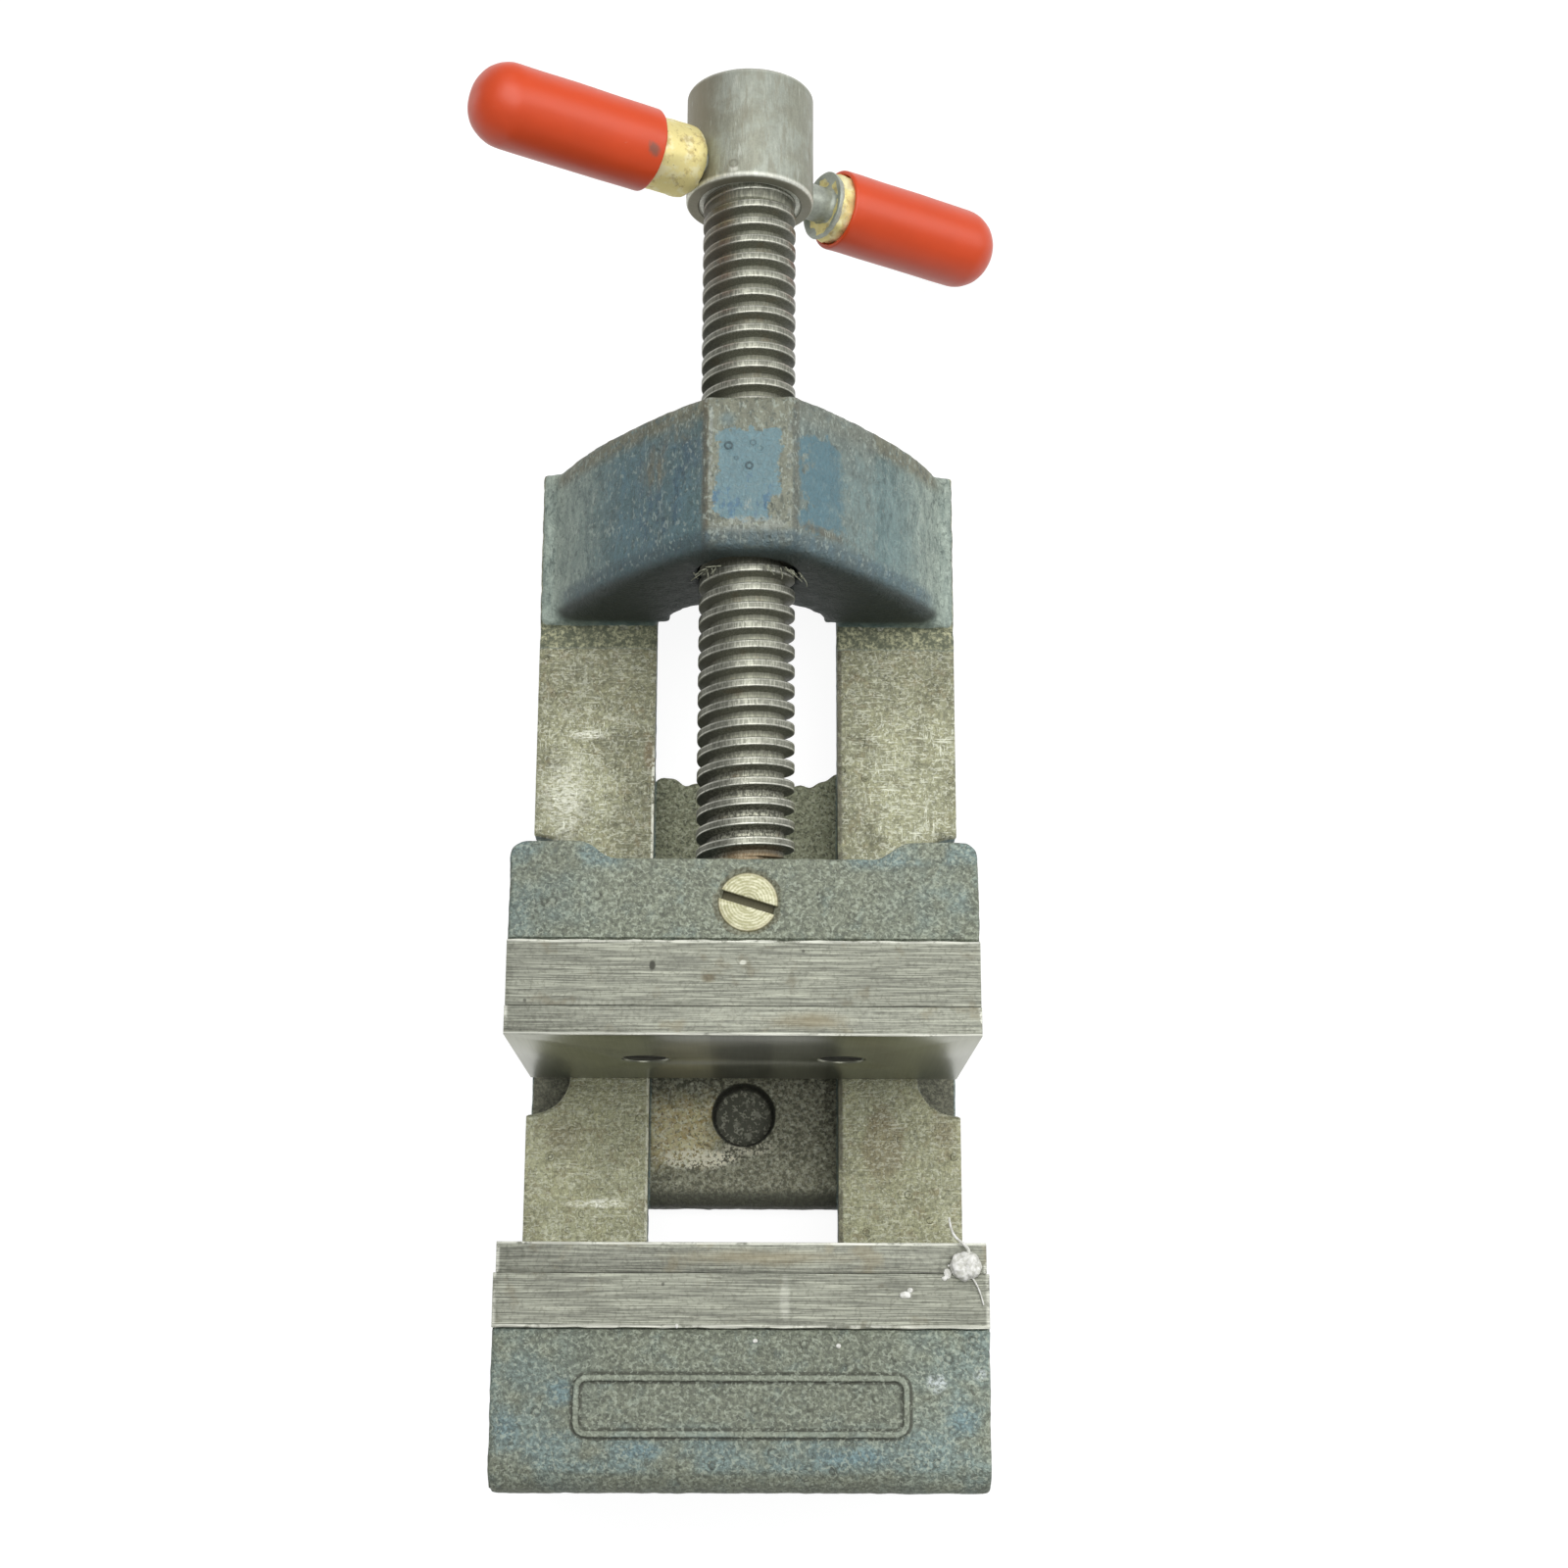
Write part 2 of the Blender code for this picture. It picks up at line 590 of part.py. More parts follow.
def make_moving_jaw(shop):
    bm = extruded("moving_jaw", moving_jaw_outline(), RAIL_HEIGHT + CLEAR, CAST_TOP)
    round_edges(bm, lambda co: near(co.z, CAST_TOP) and co.y > MOVING_REAR - EMBED,
                MOVING_TOP_RADIUS)
    jaw = shop.part(object_from("moving_jaw", bm), "cast_iron")
    half = MOVING_JAW_WIDTH / 2
    pad = shop.cutter(box("moving_pad", (-half, MOVING_FACE, CAST_TOP - EMBED),
                          (half, MOVING_FACE + MOVING_PAD_WIDTH, JAW_TOP)))
    tongue_half = RAIL_GAP / 2 - CLEAR
    tongue = shop.cutter(box("tongue", (-tongue_half, MOVING_FACE + TONGUE_INSET, LIP_BOTTOM),
                             (tongue_half, MOVING_REAR - TONGUE_INSET, RAIL_HEIGHT + CLEAR + EMBED)))
    boolean(jaw, pad, "UNION")
    boolean(jaw, tongue, "UNION")
    bore = shop.cutter(rod("nose_bore", NOSE_DIAMETER / 2 + CLEAR, -BORE_DEPTH, PASS + EAR_REACH))
    place(bore, (0.0, SCREW_START, AXIS_Z), (-90.0, 0.0, 0.0))
    boolean(jaw, bore)
    head = RETAINER_DIAMETER / 2 + CLEAR
    shank = RETAINER_SHANK_DIAMETER / 2 + CLEAR
    step = -RETAINER_HEAD_LENGTH - CLEAR
    reach = AXIS_Z - CAST_TOP
    hole = shop.cutter(turned("retainer_hole", [(0.0, PASS), (head, PASS), (head, step),
                                                (shank, step), (shank, reach), (0.0, reach)]))
    place(hole, (RETAINER_OFFSET, RETAINER_Y, CAST_TOP))
    boolean(jaw, hole)
    for index, x in enumerate(plate_screw_places(), 1):
        pilot = plate_screw_cutter(shop, "moving_pilot_%d" % index)
        place(pilot, (x, MOVING_PLATE_FACE, PLATE_SCREW_Z), (90.0, 0.0, 0.0))
        boolean(jaw, pilot)
    for index, y in enumerate(keeper_screw_places(), 1):
        pilot = keeper_screw_cutter(shop, "keeper_pilot_%d" % index)
        place(pilot, (0.0, y, KEEPER_BOTTOM), (180.0, 0.0, 0.0))
        boolean(jaw, pilot)
    return jaw


def keeper_screw_places():
    first = MOVING_FACE + KEEPER_SCREW_INSET
    return (first, first + KEEPER_SCREW_SPACING)


def keeper_screw_cutter(shop, name):
    profile = countersunk_profile(KEEPER_SCREW_HEAD_DIAMETER, KEEPER_SCREW_SHANK_DIAMETER,
                                  KEEPER_SCREW_HEAD_HEIGHT, KEEPER_SCREW_LENGTH, CLEAR)
    profile = [(0.0, PASS), (profile[1][0], PASS)] + profile[1:]
    return shop.cutter(turned(name, profile, SMALL_STEPS))


def make_keeper(shop):
    half = RAIL_GAP / 2 + UNDERCUT_DEPTH - CLEAR
    front = MOVING_FACE + KEEPER_FRONT_INSET
    keeper = shop.part(box("keeper_plate", (-half, front, KEEPER_BOTTOM),
                           (half, front + KEEPER_LENGTH, LIP_BOTTOM - CLEAR)), "dark_steel")
    for index, y in enumerate(keeper_screw_places(), 1):
        frame = ((0.0, y, KEEPER_BOTTOM), (180.0, 0.0, 0.0))
        hole = place(keeper_screw_cutter(shop, "keeper_hole_%d" % index), *frame)
        boolean(keeper, hole)
        name = "keeper_screw_%d" % index
        profile = countersunk_profile(KEEPER_SCREW_HEAD_DIAMETER, KEEPER_SCREW_SHANK_DIAMETER,
                                      KEEPER_SCREW_HEAD_HEIGHT, KEEPER_SCREW_LENGTH)
        screw = shop.part(turned(name, profile, SMALL_STEPS), "dark_steel")
        place(screw, *frame)
        slot = make_slot(shop, name + "_slot", SMALL_SLOT_WIDTH, SMALL_SLOT_DEPTH,
                         KEEPER_SCREW_HEAD_DIAMETER, frame)
        boolean(screw, slot)
    return keeper


def make_retainer(shop):
    """Slotted brass screw, flush with the casting, whose tip keeps the lead screw's nose in."""
    head = RETAINER_DIAMETER / 2
    shank = RETAINER_SHANK_DIAMETER / 2
    tip = AXIS_Z + NOSE_GROOVE_DIAMETER / 2 + CLEAR - CAST_TOP
    profile = [(0.0, 0.0), (head, 0.0), (head, -RETAINER_HEAD_LENGTH),
               (shank, -RETAINER_HEAD_LENGTH), (shank, tip), (0.0, tip)]
    frame = ((RETAINER_OFFSET, RETAINER_Y, CAST_TOP), (0.0, 0.0, RETAINER_SLOT_ANGLE))
    screw = shop.part(turned("retaining_screw", profile), "brass")
    place(screw, *frame)
    slot = make_slot(shop, "retainer_slot", RETAINER_SLOT_WIDTH, RETAINER_SLOT_DEPTH,
                     RETAINER_DIAMETER, frame)
    boolean(screw, slot)
    return screw


def thread_profile():
    """One pitch of the thread: root, flank, crest and flank, as (radius, height) pairs."""
    crest = SCREW_DIAMETER / 2
    root = crest - THREAD_DEPTH
    crest_run = THREAD_PITCH * THREAD_CREST_SHARE
    flank_run = THREAD_PITCH * THREAD_FLANK_SHARE
    root_run = THREAD_PITCH - crest_run - 2 * flank_run
    heights = [0.0, root_run, root_run + flank_run, root_run + flank_run + crest_run, THREAD_PITCH]
    radii = [root, root, crest, crest, root]
    return list(zip(radii, heights))


def make_threaded_rod(low, high):
    """Right-hand helical thread about local Z, cut square at both ends and closed."""
    turns = math.ceil((high - low) / THREAD_PITCH) + 3
    bm = bmesh.new()
    verts = [bm.verts.new((radius, 0.0, height)) for radius, height in reversed(thread_profile())]
    for first, second in zip(verts, verts[1:]):
        bm.edges.new((first, second))
    guide = object_from("thread_guide", bm)
    bpy.context.scene.collection.objects.link(guide)
    screw = guide.modifiers.new("Helix", "SCREW")
    screw.axis = "Z"
    screw.angle = math.tau
    screw.screw_offset = THREAD_PITCH
    screw.iterations = turns
    screw.steps = THREAD_STEPS
    screw.render_steps = THREAD_STEPS
    screw.use_merge_vertices = False
    bpy.context.view_layer.update()
    evaluated = guide.evaluated_get(bpy.context.evaluated_depsgraph_get())
    mesh = bpy.data.meshes.new_from_object(evaluated)
    bm = bmesh.new()
    bm.from_mesh(mesh)
    bmesh.ops.remove_doubles(bm, verts=bm.verts, dist=1e-6)
    bmesh.ops.translate(bm, vec=(0, 0, low - 2 * THREAD_PITCH), verts=bm.verts)
    for height, direction in ((low, -1), (high, 1)):
        geometry = bm.verts[:] + bm.edges[:] + bm.faces[:]
        bmesh.ops.bisect_plane(bm, geom=geometry, plane_co=(0, 0, height), dist=1e-7,
                               plane_no=(0, 0, direction), clear_outer=True)
        rim = [edge for edge in bm.edges if edge.is_boundary
               and all(abs(vert.co.z - height) < 1e-6 for vert in edge.verts)]
        bmesh.ops.contextual_create(bm, geom=rim)
    bmesh.ops.recalc_face_normals(bm, faces=bm.faces)
    bpy.data.objects.remove(guide, do_unlink=True)
    bpy.data.meshes.remove(mesh)
    return object_from("lead_screw", bm)


def make_nose(shop, frame):
    """Plain end that turns in the sliding jaw, with the retaining groove."""
    radius = NOSE_DIAMETER / 2
    groove = NOSE_GROOVE_DIAMETER / 2
    center = RETAINER_Y - SCREW_START
    upper = center + NOSE_GROOVE_WIDTH / 2
    lower = center - NOSE_GROOVE_WIDTH / 2
    profile = [(0.0, EMBED), (radius, EMBED), (radius, upper), (groove, upper), (groove, lower),
               (radius, lower), (radius, NOSE_CHAMFER - NOSE_LENGTH),
               (radius - NOSE_CHAMFER, -NOSE_LENGTH), (0.0, -NOSE_LENGTH)]
    return shop.cutter(place(turned("nose", profile), (0.0, 0.0, 0.0), parent=frame))


def make_hub(shop, frame):
    """Round head at the end of the thread, recessed around the thread's end."""
    radius = HUB_DIAMETER / 2
    recess = HUB_RECESS_DIAMETER / 2
    profile = [(0.0, HUB_LENGTH), (radius - HUB_CHAMFER, HUB_LENGTH),
               (radius, HUB_LENGTH - HUB_CHAMFER), (radius, HUB_CHAMFER),
               (radius - HUB_CHAMFER, 0.0), (recess, 0.0), (recess, HUB_RECESS_DEPTH),
               (0.0, HUB_RECESS_DEPTH)]
    return shop.cutter(place(turned("hub", profile, HUB_STEPS), (0.0, 0.0, THREAD_LENGTH), parent=frame))


def make_lead_screw(shop):
    """One-piece screw on the turning axis: nose, thread, hub and cross hole."""
    frame = empty("screw_axis", (0.0, SCREW_START, AXIS_Z), (-90.0, 0.0, 0.0), shop.parts)
    screw = shop.part(make_threaded_rod(0.0, THREAD_LENGTH + HUB_RECESS_DEPTH + EMBED), "screw_steel")
    place(screw, (0.0, 0.0, 0.0), (0.0, 0.0, THREAD_TURN_ANGLE), parent=frame)
    boolean(screw, make_nose(shop, frame), "UNION")
    boolean(screw, make_hub(shop, frame), "UNION")
    reach = HUB_DIAMETER / 2 + PASS
    hole = shop.cutter(rod("cross_hole", BAR_DIAMETER / 2 + CLEAR, -reach, reach, SMALL_STEPS))
    place(hole, (0.0, BAR_Y, AXIS_Z), (0.0, 90.0 + BAR_TILT, 0.0))
    boolean(screw, hole)
    return screw


def grip_profile(start, length, tuck):
    """Closed section of a grip cap from its mouth at start, domed at the far end."""
    outer = GRIP_DIAMETER / 2
    sleeve_bore = SLEEVE_DIAMETER / 2 + CLEAR
    bar_bore = BAR_DIAMETER / 2 + CLEAR
    step = start + tuck + CLEAR
    end = start + length
    inside_end = end - GRIP_WALL_END
    points = [(0.0, end)] + arc((0.0, end - outer), outer, 90, 0, DOME_STEPS)[1:]
    points += [(outer, start + GRIP_LIP), (outer - GRIP_LIP, start), (sleeve_bore, start),
               (sleeve_bore, step), (bar_bore, step), (bar_bore, inside_end), (0.0, inside_end)]
    return points


def ring_profile(low, high, outer, inner):
    return [(outer, high), (outer, low), (inner, low), (inner, high)]


def nosed_ring_profile(low, high, outer, inner, radius):
    """Ring whose lower end, the one towards the hub, is rounded on the outside."""
    corner = (outer - radius, low + radius)
    nose = arc(corner, radius, 0, -90, FILLET_STEPS)
    return [(outer, high)] + nose + [(inner, low), (inner, high)]


def make_bar_end(shop, frame, side, layout):
    """Collar, sleeve and grip cap on one end of the bar, outwards along local Z."""
    collar_low, collar_high, sleeve_low, grip_low, grip_length = layout
    grip = turned("grip_cap_" + side, grip_profile(grip_low, grip_length, SLEEVE_TUCK), SMALL_STEPS)
    sleeve_high = grip_low + SLEEVE_TUCK
    bar_bore = BAR_DIAMETER / 2 + CLEAR
    outer = SLEEVE_DIAMETER / 2
    if sleeve_low < collar_high:
        inner = outer - SLEEVE_WALL
        sleeve = nosed_ring_profile(sleeve_low, sleeve_high, outer, inner, SLEEVE_WALL)
        collar = nosed_ring_profile(collar_low, collar_high, inner - CLEAR, bar_bore,
                                    SLEEVE_NOSE_RADIUS)
    else:
        sleeve = ring_profile(sleeve_low, sleeve_high, outer, bar_bore)
        collar = [(outer, collar_high), (outer, collar_low), (outer - EMBED, collar_low),
                  (bar_bore + EMBED, collar_low + COLLAR_DISH_DEPTH),
                  (bar_bore, collar_low + COLLAR_DISH_DEPTH), (bar_bore, collar_high)]
    pieces = (
        (grip, "red_vinyl"),
        (turned("brass_sleeve_" + side, sleeve, SMALL_STEPS, closed=True), "brass"),
        (turned("collar_" + side, collar, SMALL_STEPS, closed=True), "screw_steel"),
    )
    for item, material in pieces:
        shop.part(item, material)
        place(item, (0.0, 0.0, 0.0), (0.0, 0.0, 0.0), parent=frame)


def make_handle(shop):
    """Tommy bar through the hub. Its left end stands high, with the knob against the hub."""
    hub = HUB_DIAMETER / 2
    right = empty("bar_axis", (0.0, BAR_Y, AXIS_Z), (0.0, 90.0 + BAR_TILT, 0.0), shop.parts)
    left = empty("bar_axis_left", (0.0, BAR_Y, AXIS_Z), (0.0, BAR_TILT - 90.0, 0.0), shop.parts)
    left_start = hub + CLEAR
    left_grip = left_start + LEFT_SLEEVE_SHOWN
    right_start = hub + RIGHT_COLLAR_GAP
    right_sleeve = right_start + RIGHT_COLLAR_LENGTH + CLEAR
    right_grip = right_sleeve + RIGHT_SLEEVE_SHOWN
    make_bar_end(shop, left, "left", (left_start, left_grip + SLEEVE_TUCK, left_start + EMBED,
                                      left_grip, LEFT_GRIP_LENGTH))
    make_bar_end(shop, right, "right", (right_start, right_start + RIGHT_COLLAR_LENGTH, right_sleeve,
                                        right_grip, RIGHT_GRIP_LENGTH))
    left_end = -(left_grip + LEFT_GRIP_LENGTH - GRIP_WALL_END - CLEAR)
    right_end = right_grip + RIGHT_GRIP_LENGTH - GRIP_WALL_END - CLEAR
    bar = shop.part(rod("tommy_bar", BAR_DIAMETER / 2, left_end, right_end, SMALL_STEPS),
                    "screw_steel")
    place(bar, (0.0, 0.0, 0.0), (0.0, 0.0, 0.0), parent=right)


def shade(shop):
    for item in shop.parts.objects:
        if item.type == "MESH":
            item.data.shade_smooth()
            item.data.set_sharp_from_angle(angle=math.radians(35))


def main():
    clear_scene()
    shop = Workshop()
    make_body_casting(shop)
    make_plate(shop, "fixed_jaw_plate", FIXED_FACE + CLEAR, FIXED_PLATE_FACE, FIXED_PLATE_FACE, -90.0)
    make_plate_screws(shop, "fixed_plate_screw", FIXED_PLATE_FACE, -90.0, FIXED_SLOT_ANGLES)
    make_moving_jaw(shop)
    make_plate(shop, "moving_jaw_plate", MOVING_PLATE_FACE, MOVING_PLATE_FACE + PLATE_THICKNESS,
               MOVING_PLATE_FACE, 90.0)
    make_plate_screws(shop, "moving_plate_screw", MOVING_PLATE_FACE, 90.0, MOVING_SLOT_ANGLES)
    make_keeper(shop)
    make_retainer(shop)
    make_lead_screw(shop)
    make_handle(shop)
    shade(shop)
    bpy.context.view_layer.update()


main()
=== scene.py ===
"""Drill press vise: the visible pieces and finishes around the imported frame.

Metres, +Z up, +Y from the fixed jaw to the handle. Heights and places are read from the
frame's own nodes where they can be.
"""
import math
import random

import bpy
import numpy as np
from mathutils import Matrix, Vector


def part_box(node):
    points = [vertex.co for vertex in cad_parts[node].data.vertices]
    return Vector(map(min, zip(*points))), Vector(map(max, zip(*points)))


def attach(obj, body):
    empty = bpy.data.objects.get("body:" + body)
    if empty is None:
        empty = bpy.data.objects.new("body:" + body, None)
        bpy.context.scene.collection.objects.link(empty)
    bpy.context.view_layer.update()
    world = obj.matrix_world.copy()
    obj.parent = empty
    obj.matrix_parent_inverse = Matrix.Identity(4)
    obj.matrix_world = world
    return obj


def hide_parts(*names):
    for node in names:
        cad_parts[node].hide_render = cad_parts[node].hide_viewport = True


bl_info = {
    "name": "Drill press vise",
    "version": (1, 0, 0),
    "blender": (4, 5, 0),
    "location": "3D View > Sidebar > Vise",
    "description": "Models the visible pieces of a drill press vise around its frame",
    "category": "Add Mesh",
}

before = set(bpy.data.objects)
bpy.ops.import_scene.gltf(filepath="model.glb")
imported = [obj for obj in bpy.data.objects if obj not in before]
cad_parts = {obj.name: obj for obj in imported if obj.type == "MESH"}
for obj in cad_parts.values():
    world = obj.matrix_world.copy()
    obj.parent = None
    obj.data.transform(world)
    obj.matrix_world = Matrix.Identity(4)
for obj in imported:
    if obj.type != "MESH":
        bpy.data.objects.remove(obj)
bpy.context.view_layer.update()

MM = 0.001
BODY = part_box("body_casting")
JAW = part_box("moving_jaw")
FIXED_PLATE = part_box("fixed_jaw_plate")
MOVING_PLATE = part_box("moving_jaw_plate")
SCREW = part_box("lead_screw")

RAIL_TOP = 14.0 * MM
PAD_DROP = 0.4 * MM
FIXED_FACE = FIXED_PLATE[0].y - 0.3 * MM
FIXED_PAD_EDGE = FIXED_FACE - 6.8 * MM
JAW_FACE = JAW[0].y
JAW_PAD_EDGE = JAW_FACE + 8.7 * MM
YOKE_CUT = 50.5 * MM
AXIS_Z = 34.0 * MM
SCREW_AXIS = Vector((0.0, 0.0, AXIS_Z))
THREAD_START = JAW[1].y - 2.0 * MM
HUB_START = 111.65 * MM
HUB_END = SCREW[1].y
BAR_CENTRE = Vector((0.0, 115.75 * MM, AXIS_Z))
BAR_TILT = math.radians(32.2)
HUB_RADIUS = 9.65 * MM
RIM_LENGTH = 42.5 * MM
RIM_WIDTH = 7.8 * MM
RIM_CORNER = 1.9 * MM
RIM_BREADTH = 0.95 * MM
RIM_CENTRE = (0.1 * MM, -65.1 * MM)
RIM_TOP = BODY[1].z - PAD_DROP
RAIL_EDGE = 13.4 * MM
GRIP_OVERLAP = 6.5 * MM
BAR_RADIUS = 2.75 * MM
SOCKET_X = 13.6
SEAT = (0.0, -22.65)
RETAINER = (0.5, -0.55)

# Blisters in the paint, in millimetres: x, y, radius, width and strength of the dark ring painted
# round it as shade, and radius and height of the blister
BUBBLES = ((-2.7, 68.1, 0.48, 0.2, 1.0, 0.7, 0.35), (0.27, 65.1, 0.45, 0.2, 1.0, 0.65, 0.3),
           (0.8, 68.6, 0.36, 0.16, 0.6, 0.5, 0.2), (-1.6, 66.3, 0.26, 0.14, 0.5, 0.4, 0.15))

# The camera that was fitted to the photograph: its focal length and frame in pixels
FOCAL_LENGTH, FRAME_WIDTH, FILM_WIDTH = 2511.0, 1600.0, 36.0
CAMERA_PLACE = (0.0011, -0.06665, 0.3742)
CAMERA_TURNS = ((-0.74, "Y"), (14.47, "X"), (0.18, "Z"))

# Area lights: name, place, target, sides in metres and share of the power
LIGHTS = (("overhead", (0.10, 0.16, 0.75), (0.0, 0.02, 0.0), (0.9, 0.7), 9.0),
          ("side", (0.75, 0.25, 0.42), (0.0, 0.03, 0.03), (0.5, 0.5), 3.0))
FLOOR_SIZE = 6.0
FLOOR_GLOW = 0.92


# Sizes and colours that a user would change

def length(name, description, default):
    return bpy.props.FloatProperty(name=name, description=description, default=default,
                                   min=0.0, unit="LENGTH", precision=5)


def colour(name, description, default):
    return bpy.props.FloatVectorProperty(name=name, description=description, size=3,
                                         default=default, min=0.0, max=1.0, subtype="COLOR")


class CastingSettings(bpy.types.PropertyGroup):
    mesh_size: length("Mesh size", "Spacing of the points on the castings", 0.00045)
    rails_mesh_size: length("Rails mesh size", "Spacing of the points on the rails", 0.00048)
    yoke_mesh_size: length("Yoke mesh size", "Spacing of the points on the yoke", 0.00036)
    lump_depth: length("Lump depth", "Height of the lumps in rough cast faces", 0.00022)
    grain_depth: length("Grain depth", "Height of the fine cast grain", 0.00009)
    paint: colour("Paint", "Blue paint where it is whole", (0.178, 0.293, 0.328))
    dull_paint: colour("Dull paint", "Blue paint under dirt", (0.130, 0.212, 0.212))
    tinge: colour("Tinge", "Iron with a little paint left", (0.218, 0.288, 0.268))
    bare: colour("Bare iron", "Cast iron where the paint is gone", (0.238, 0.262, 0.198))
    dark: colour("Dark iron", "Oily cast iron in hollows", (0.13, 0.13, 0.09))
    ground: colour("Ground iron", "Machined tops of the rails", (0.27, 0.28, 0.195))


class JawSettings(bpy.types.PropertyGroup):
    plate_bevel: length("Plate bevel", "Worn edge of the jaw plates", 0.00014)
    pad_bevel: length("Pad bevel", "Worn edge of the machined pads", 0.00010)
    plate: colour("Plate", "Ground steel of the jaw plates", (0.40, 0.41, 0.33))
    pad: colour("Pad", "Machined iron beside the plates", (0.315, 0.325, 0.265))


class ScrewSettings(bpy.types.PropertyGroup):
    pitch: length("Pitch", "Advance of the lead screw in one turn", 0.00287)
    crest_radius: length("Crest radius", "Outer radius of the thread", 0.007)
    root_radius: length("Root radius", "Inner radius of the thread", 0.0055)
    neck_length: length("Neck length", "Plain neck between the thread and the jaw", 0.0036)
    steel: colour("Steel", "Rubbed crests of the thread", (0.36, 0.365, 0.30))
    groove: colour("Groove", "Steel in the grooves of the thread", (0.30, 0.305, 0.235))
    hub: colour("Hub", "Turned steel of the hub", (0.375, 0.385, 0.31))
    # Also the colour of the painted shade under the crests and down the screw's sides
    grime_and_shade: colour("Grime", "Oily dirt in the thread", (0.045, 0.045, 0.034))


class HandleSettings(bpy.types.PropertyGroup):
    grip_radius: length("Grip radius", "Outer radius of the grip caps", 0.0062)
    left_grip: length("Left grip", "Length of the left grip cap", 0.0286)
    right_grip: length("Right grip", "Length of the right grip cap", 0.0292)
    vinyl: colour("Vinyl", "Red of the grip caps", (0.70, 0.067, 0.009))
    brass: colour("Brass", "Worn brass", (0.90, 0.80, 0.38))


class StageSettings(bpy.types.PropertyGroup):
    floor: colour("Floor", "Floor as the camera sees it", (1.0, 1.0, 1.0))
    sky_strength: bpy.props.FloatProperty(name="Sky", description="Light from all round",
                                          default=0.32, min=0.0)
    key_power: bpy.props.FloatProperty(name="Key", description="Power of the overhead light",
                                       default=0.56, min=0.0)


# Modelling helpers

def deselect():
    bpy.ops.object.select_all(action="DESELECT")


def select(*items):
    if bpy.context.mode != "OBJECT":
        bpy.ops.object.mode_set(mode="OBJECT")
    deselect()
    for item in items:
        item.select_set(True)
    bpy.context.view_layer.objects.active = items[0]


class Editing:
    """Edit mode on one piece, with everything in it selected at the start."""

    def __init__(self, piece):
        self.piece = piece

    def __enter__(self):
        select(self.piece)
        bpy.ops.object.mode_set(mode="EDIT")
        bpy.ops.mesh.select_all(action="SELECT")
        return self.piece

    def __exit__(self, kind, value, trace):
        bpy.ops.object.mode_set(mode="OBJECT")
        return False


def added(name):
    """Names the primitive that was just added."""
    piece = bpy.context.object
    piece.name = name
    piece.data.name = name
    return piece


def merged_copy(node, name):
    """A copy of a CAD node's mesh with its loose triangles joined into whole faces."""
    piece = bpy.data.objects.new(name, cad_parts[node].data.copy())
    bpy.context.scene.collection.objects.link(piece)
    piece.data.materials.clear()
    with Editing(piece):
        bpy.ops.mesh.remove_doubles(threshold=1e-6)
        bpy.ops.mesh.dissolve_limited(angle_limit=0.002)
    return piece


def cut(piece, point, outwards):
    """Takes off what lies beyond a plane, and closes the mesh there."""
    with Editing(piece):
        bpy.ops.mesh.bisect(plane_co=point, plane_no=outwards, use_fill=True, clear_outer=True)


def modify(piece, kind, **settings):
    """Adds a modifier and applies it."""
    modifier = piece.modifiers.new(kind, kind)
    for key, value in settings.items():
        setattr(modifier, key, value)
    select(piece)
    bpy.ops.object.modifier_apply(modifier=modifier.name)


def points(piece):
    co = np.empty(len(piece.data.vertices) * 3)
    piece.data.vertices.foreach_get("co", co)
    return co.reshape(-1, 3)


def put_points(piece, co):
    piece.data.vertices.foreach_set("co", co.ravel())
    piece.data.update()


def smoothstep(value, low, high):
    share = np.clip((value - low) / (high - low), 0.0, 1.0)
    return share * share * (3 - 2 * share)


def weigh(piece, name, weights):
    """A vertex group from an array of weights, in steps of a tenth."""
    group = piece.vertex_groups.new(name=name)
    steps = np.round(np.clip(weights, 0.0, 1.0) * 10).astype(int)
    for step in range(1, 11):
        chosen = np.nonzero(steps == step)[0]
        if len(chosen):
            group.add(chosen.tolist(), step / 10, "REPLACE")
    return group.name


def roughen(piece, size, depth, group="", kind="CLOUDS", **settings):
    """Moves a surface in and out by a cloud pattern."""
    texture = bpy.data.textures.new(piece.name + "_grain", kind)
    texture.noise_scale = size
    for key, value in settings.items():
        setattr(texture, key, value)
    modify(piece, "DISPLACE", texture=texture, strength=depth, mid_level=0.5,
           texture_coords="LOCAL", vertex_group=group)
    bpy.data.textures.remove(texture)


def smooth_shade(piece, degrees=40.0):
    select(piece)
    bpy.ops.object.shade_smooth_by_angle(angle=math.radians(degrees))
    return piece


def settle(piece, matrix=None):
    """Puts the piece's place into its mesh, so its object stands at the origin."""
    if matrix is not None:
        piece.matrix_world = matrix
    select(piece)
    bpy.ops.object.transform_apply(location=True, rotation=True, scale=True)
    return piece


def drawn(name, profile):
    """A line through (radius, height) points, drawn by extruding a vertex."""
    deselect()
    bpy.ops.mesh.primitive_plane_add(size=MM)
    piece = added(name)
    with Editing(piece):
        bpy.ops.mesh.merge(type="CENTER")
        bpy.ops.transform.translate(value=(profile[0][0], 0.0, profile[0][1]))
        for (r0, h0), (r1, h1) in zip(profile, profile[1:]):
            bpy.ops.mesh.extrude_vertices_move(
                TRANSFORM_OT_translate={"value": (r1 - r0, 0.0, h1 - h0)})
    return piece


def turned(name, profile, steps=64, closed=False):
    """A profile of (radius, height) points spun about Z."""
    piece = drawn(name, profile + profile[:1] if closed else profile)
    with Editing(piece):
        bpy.ops.mesh.remove_doubles(threshold=1e-7)
        bpy.ops.mesh.spin(steps=steps, angle=math.tau, center=(0.0, 0.0, 0.0),
                          axis=(0.0, 0.0, 1.0))
        bpy.ops.mesh.select_all(action="SELECT")
        bpy.ops.mesh.remove_doubles(threshold=1e-6)
        bpy.ops.mesh.normals_make_consistent(inside=False)
    return piece


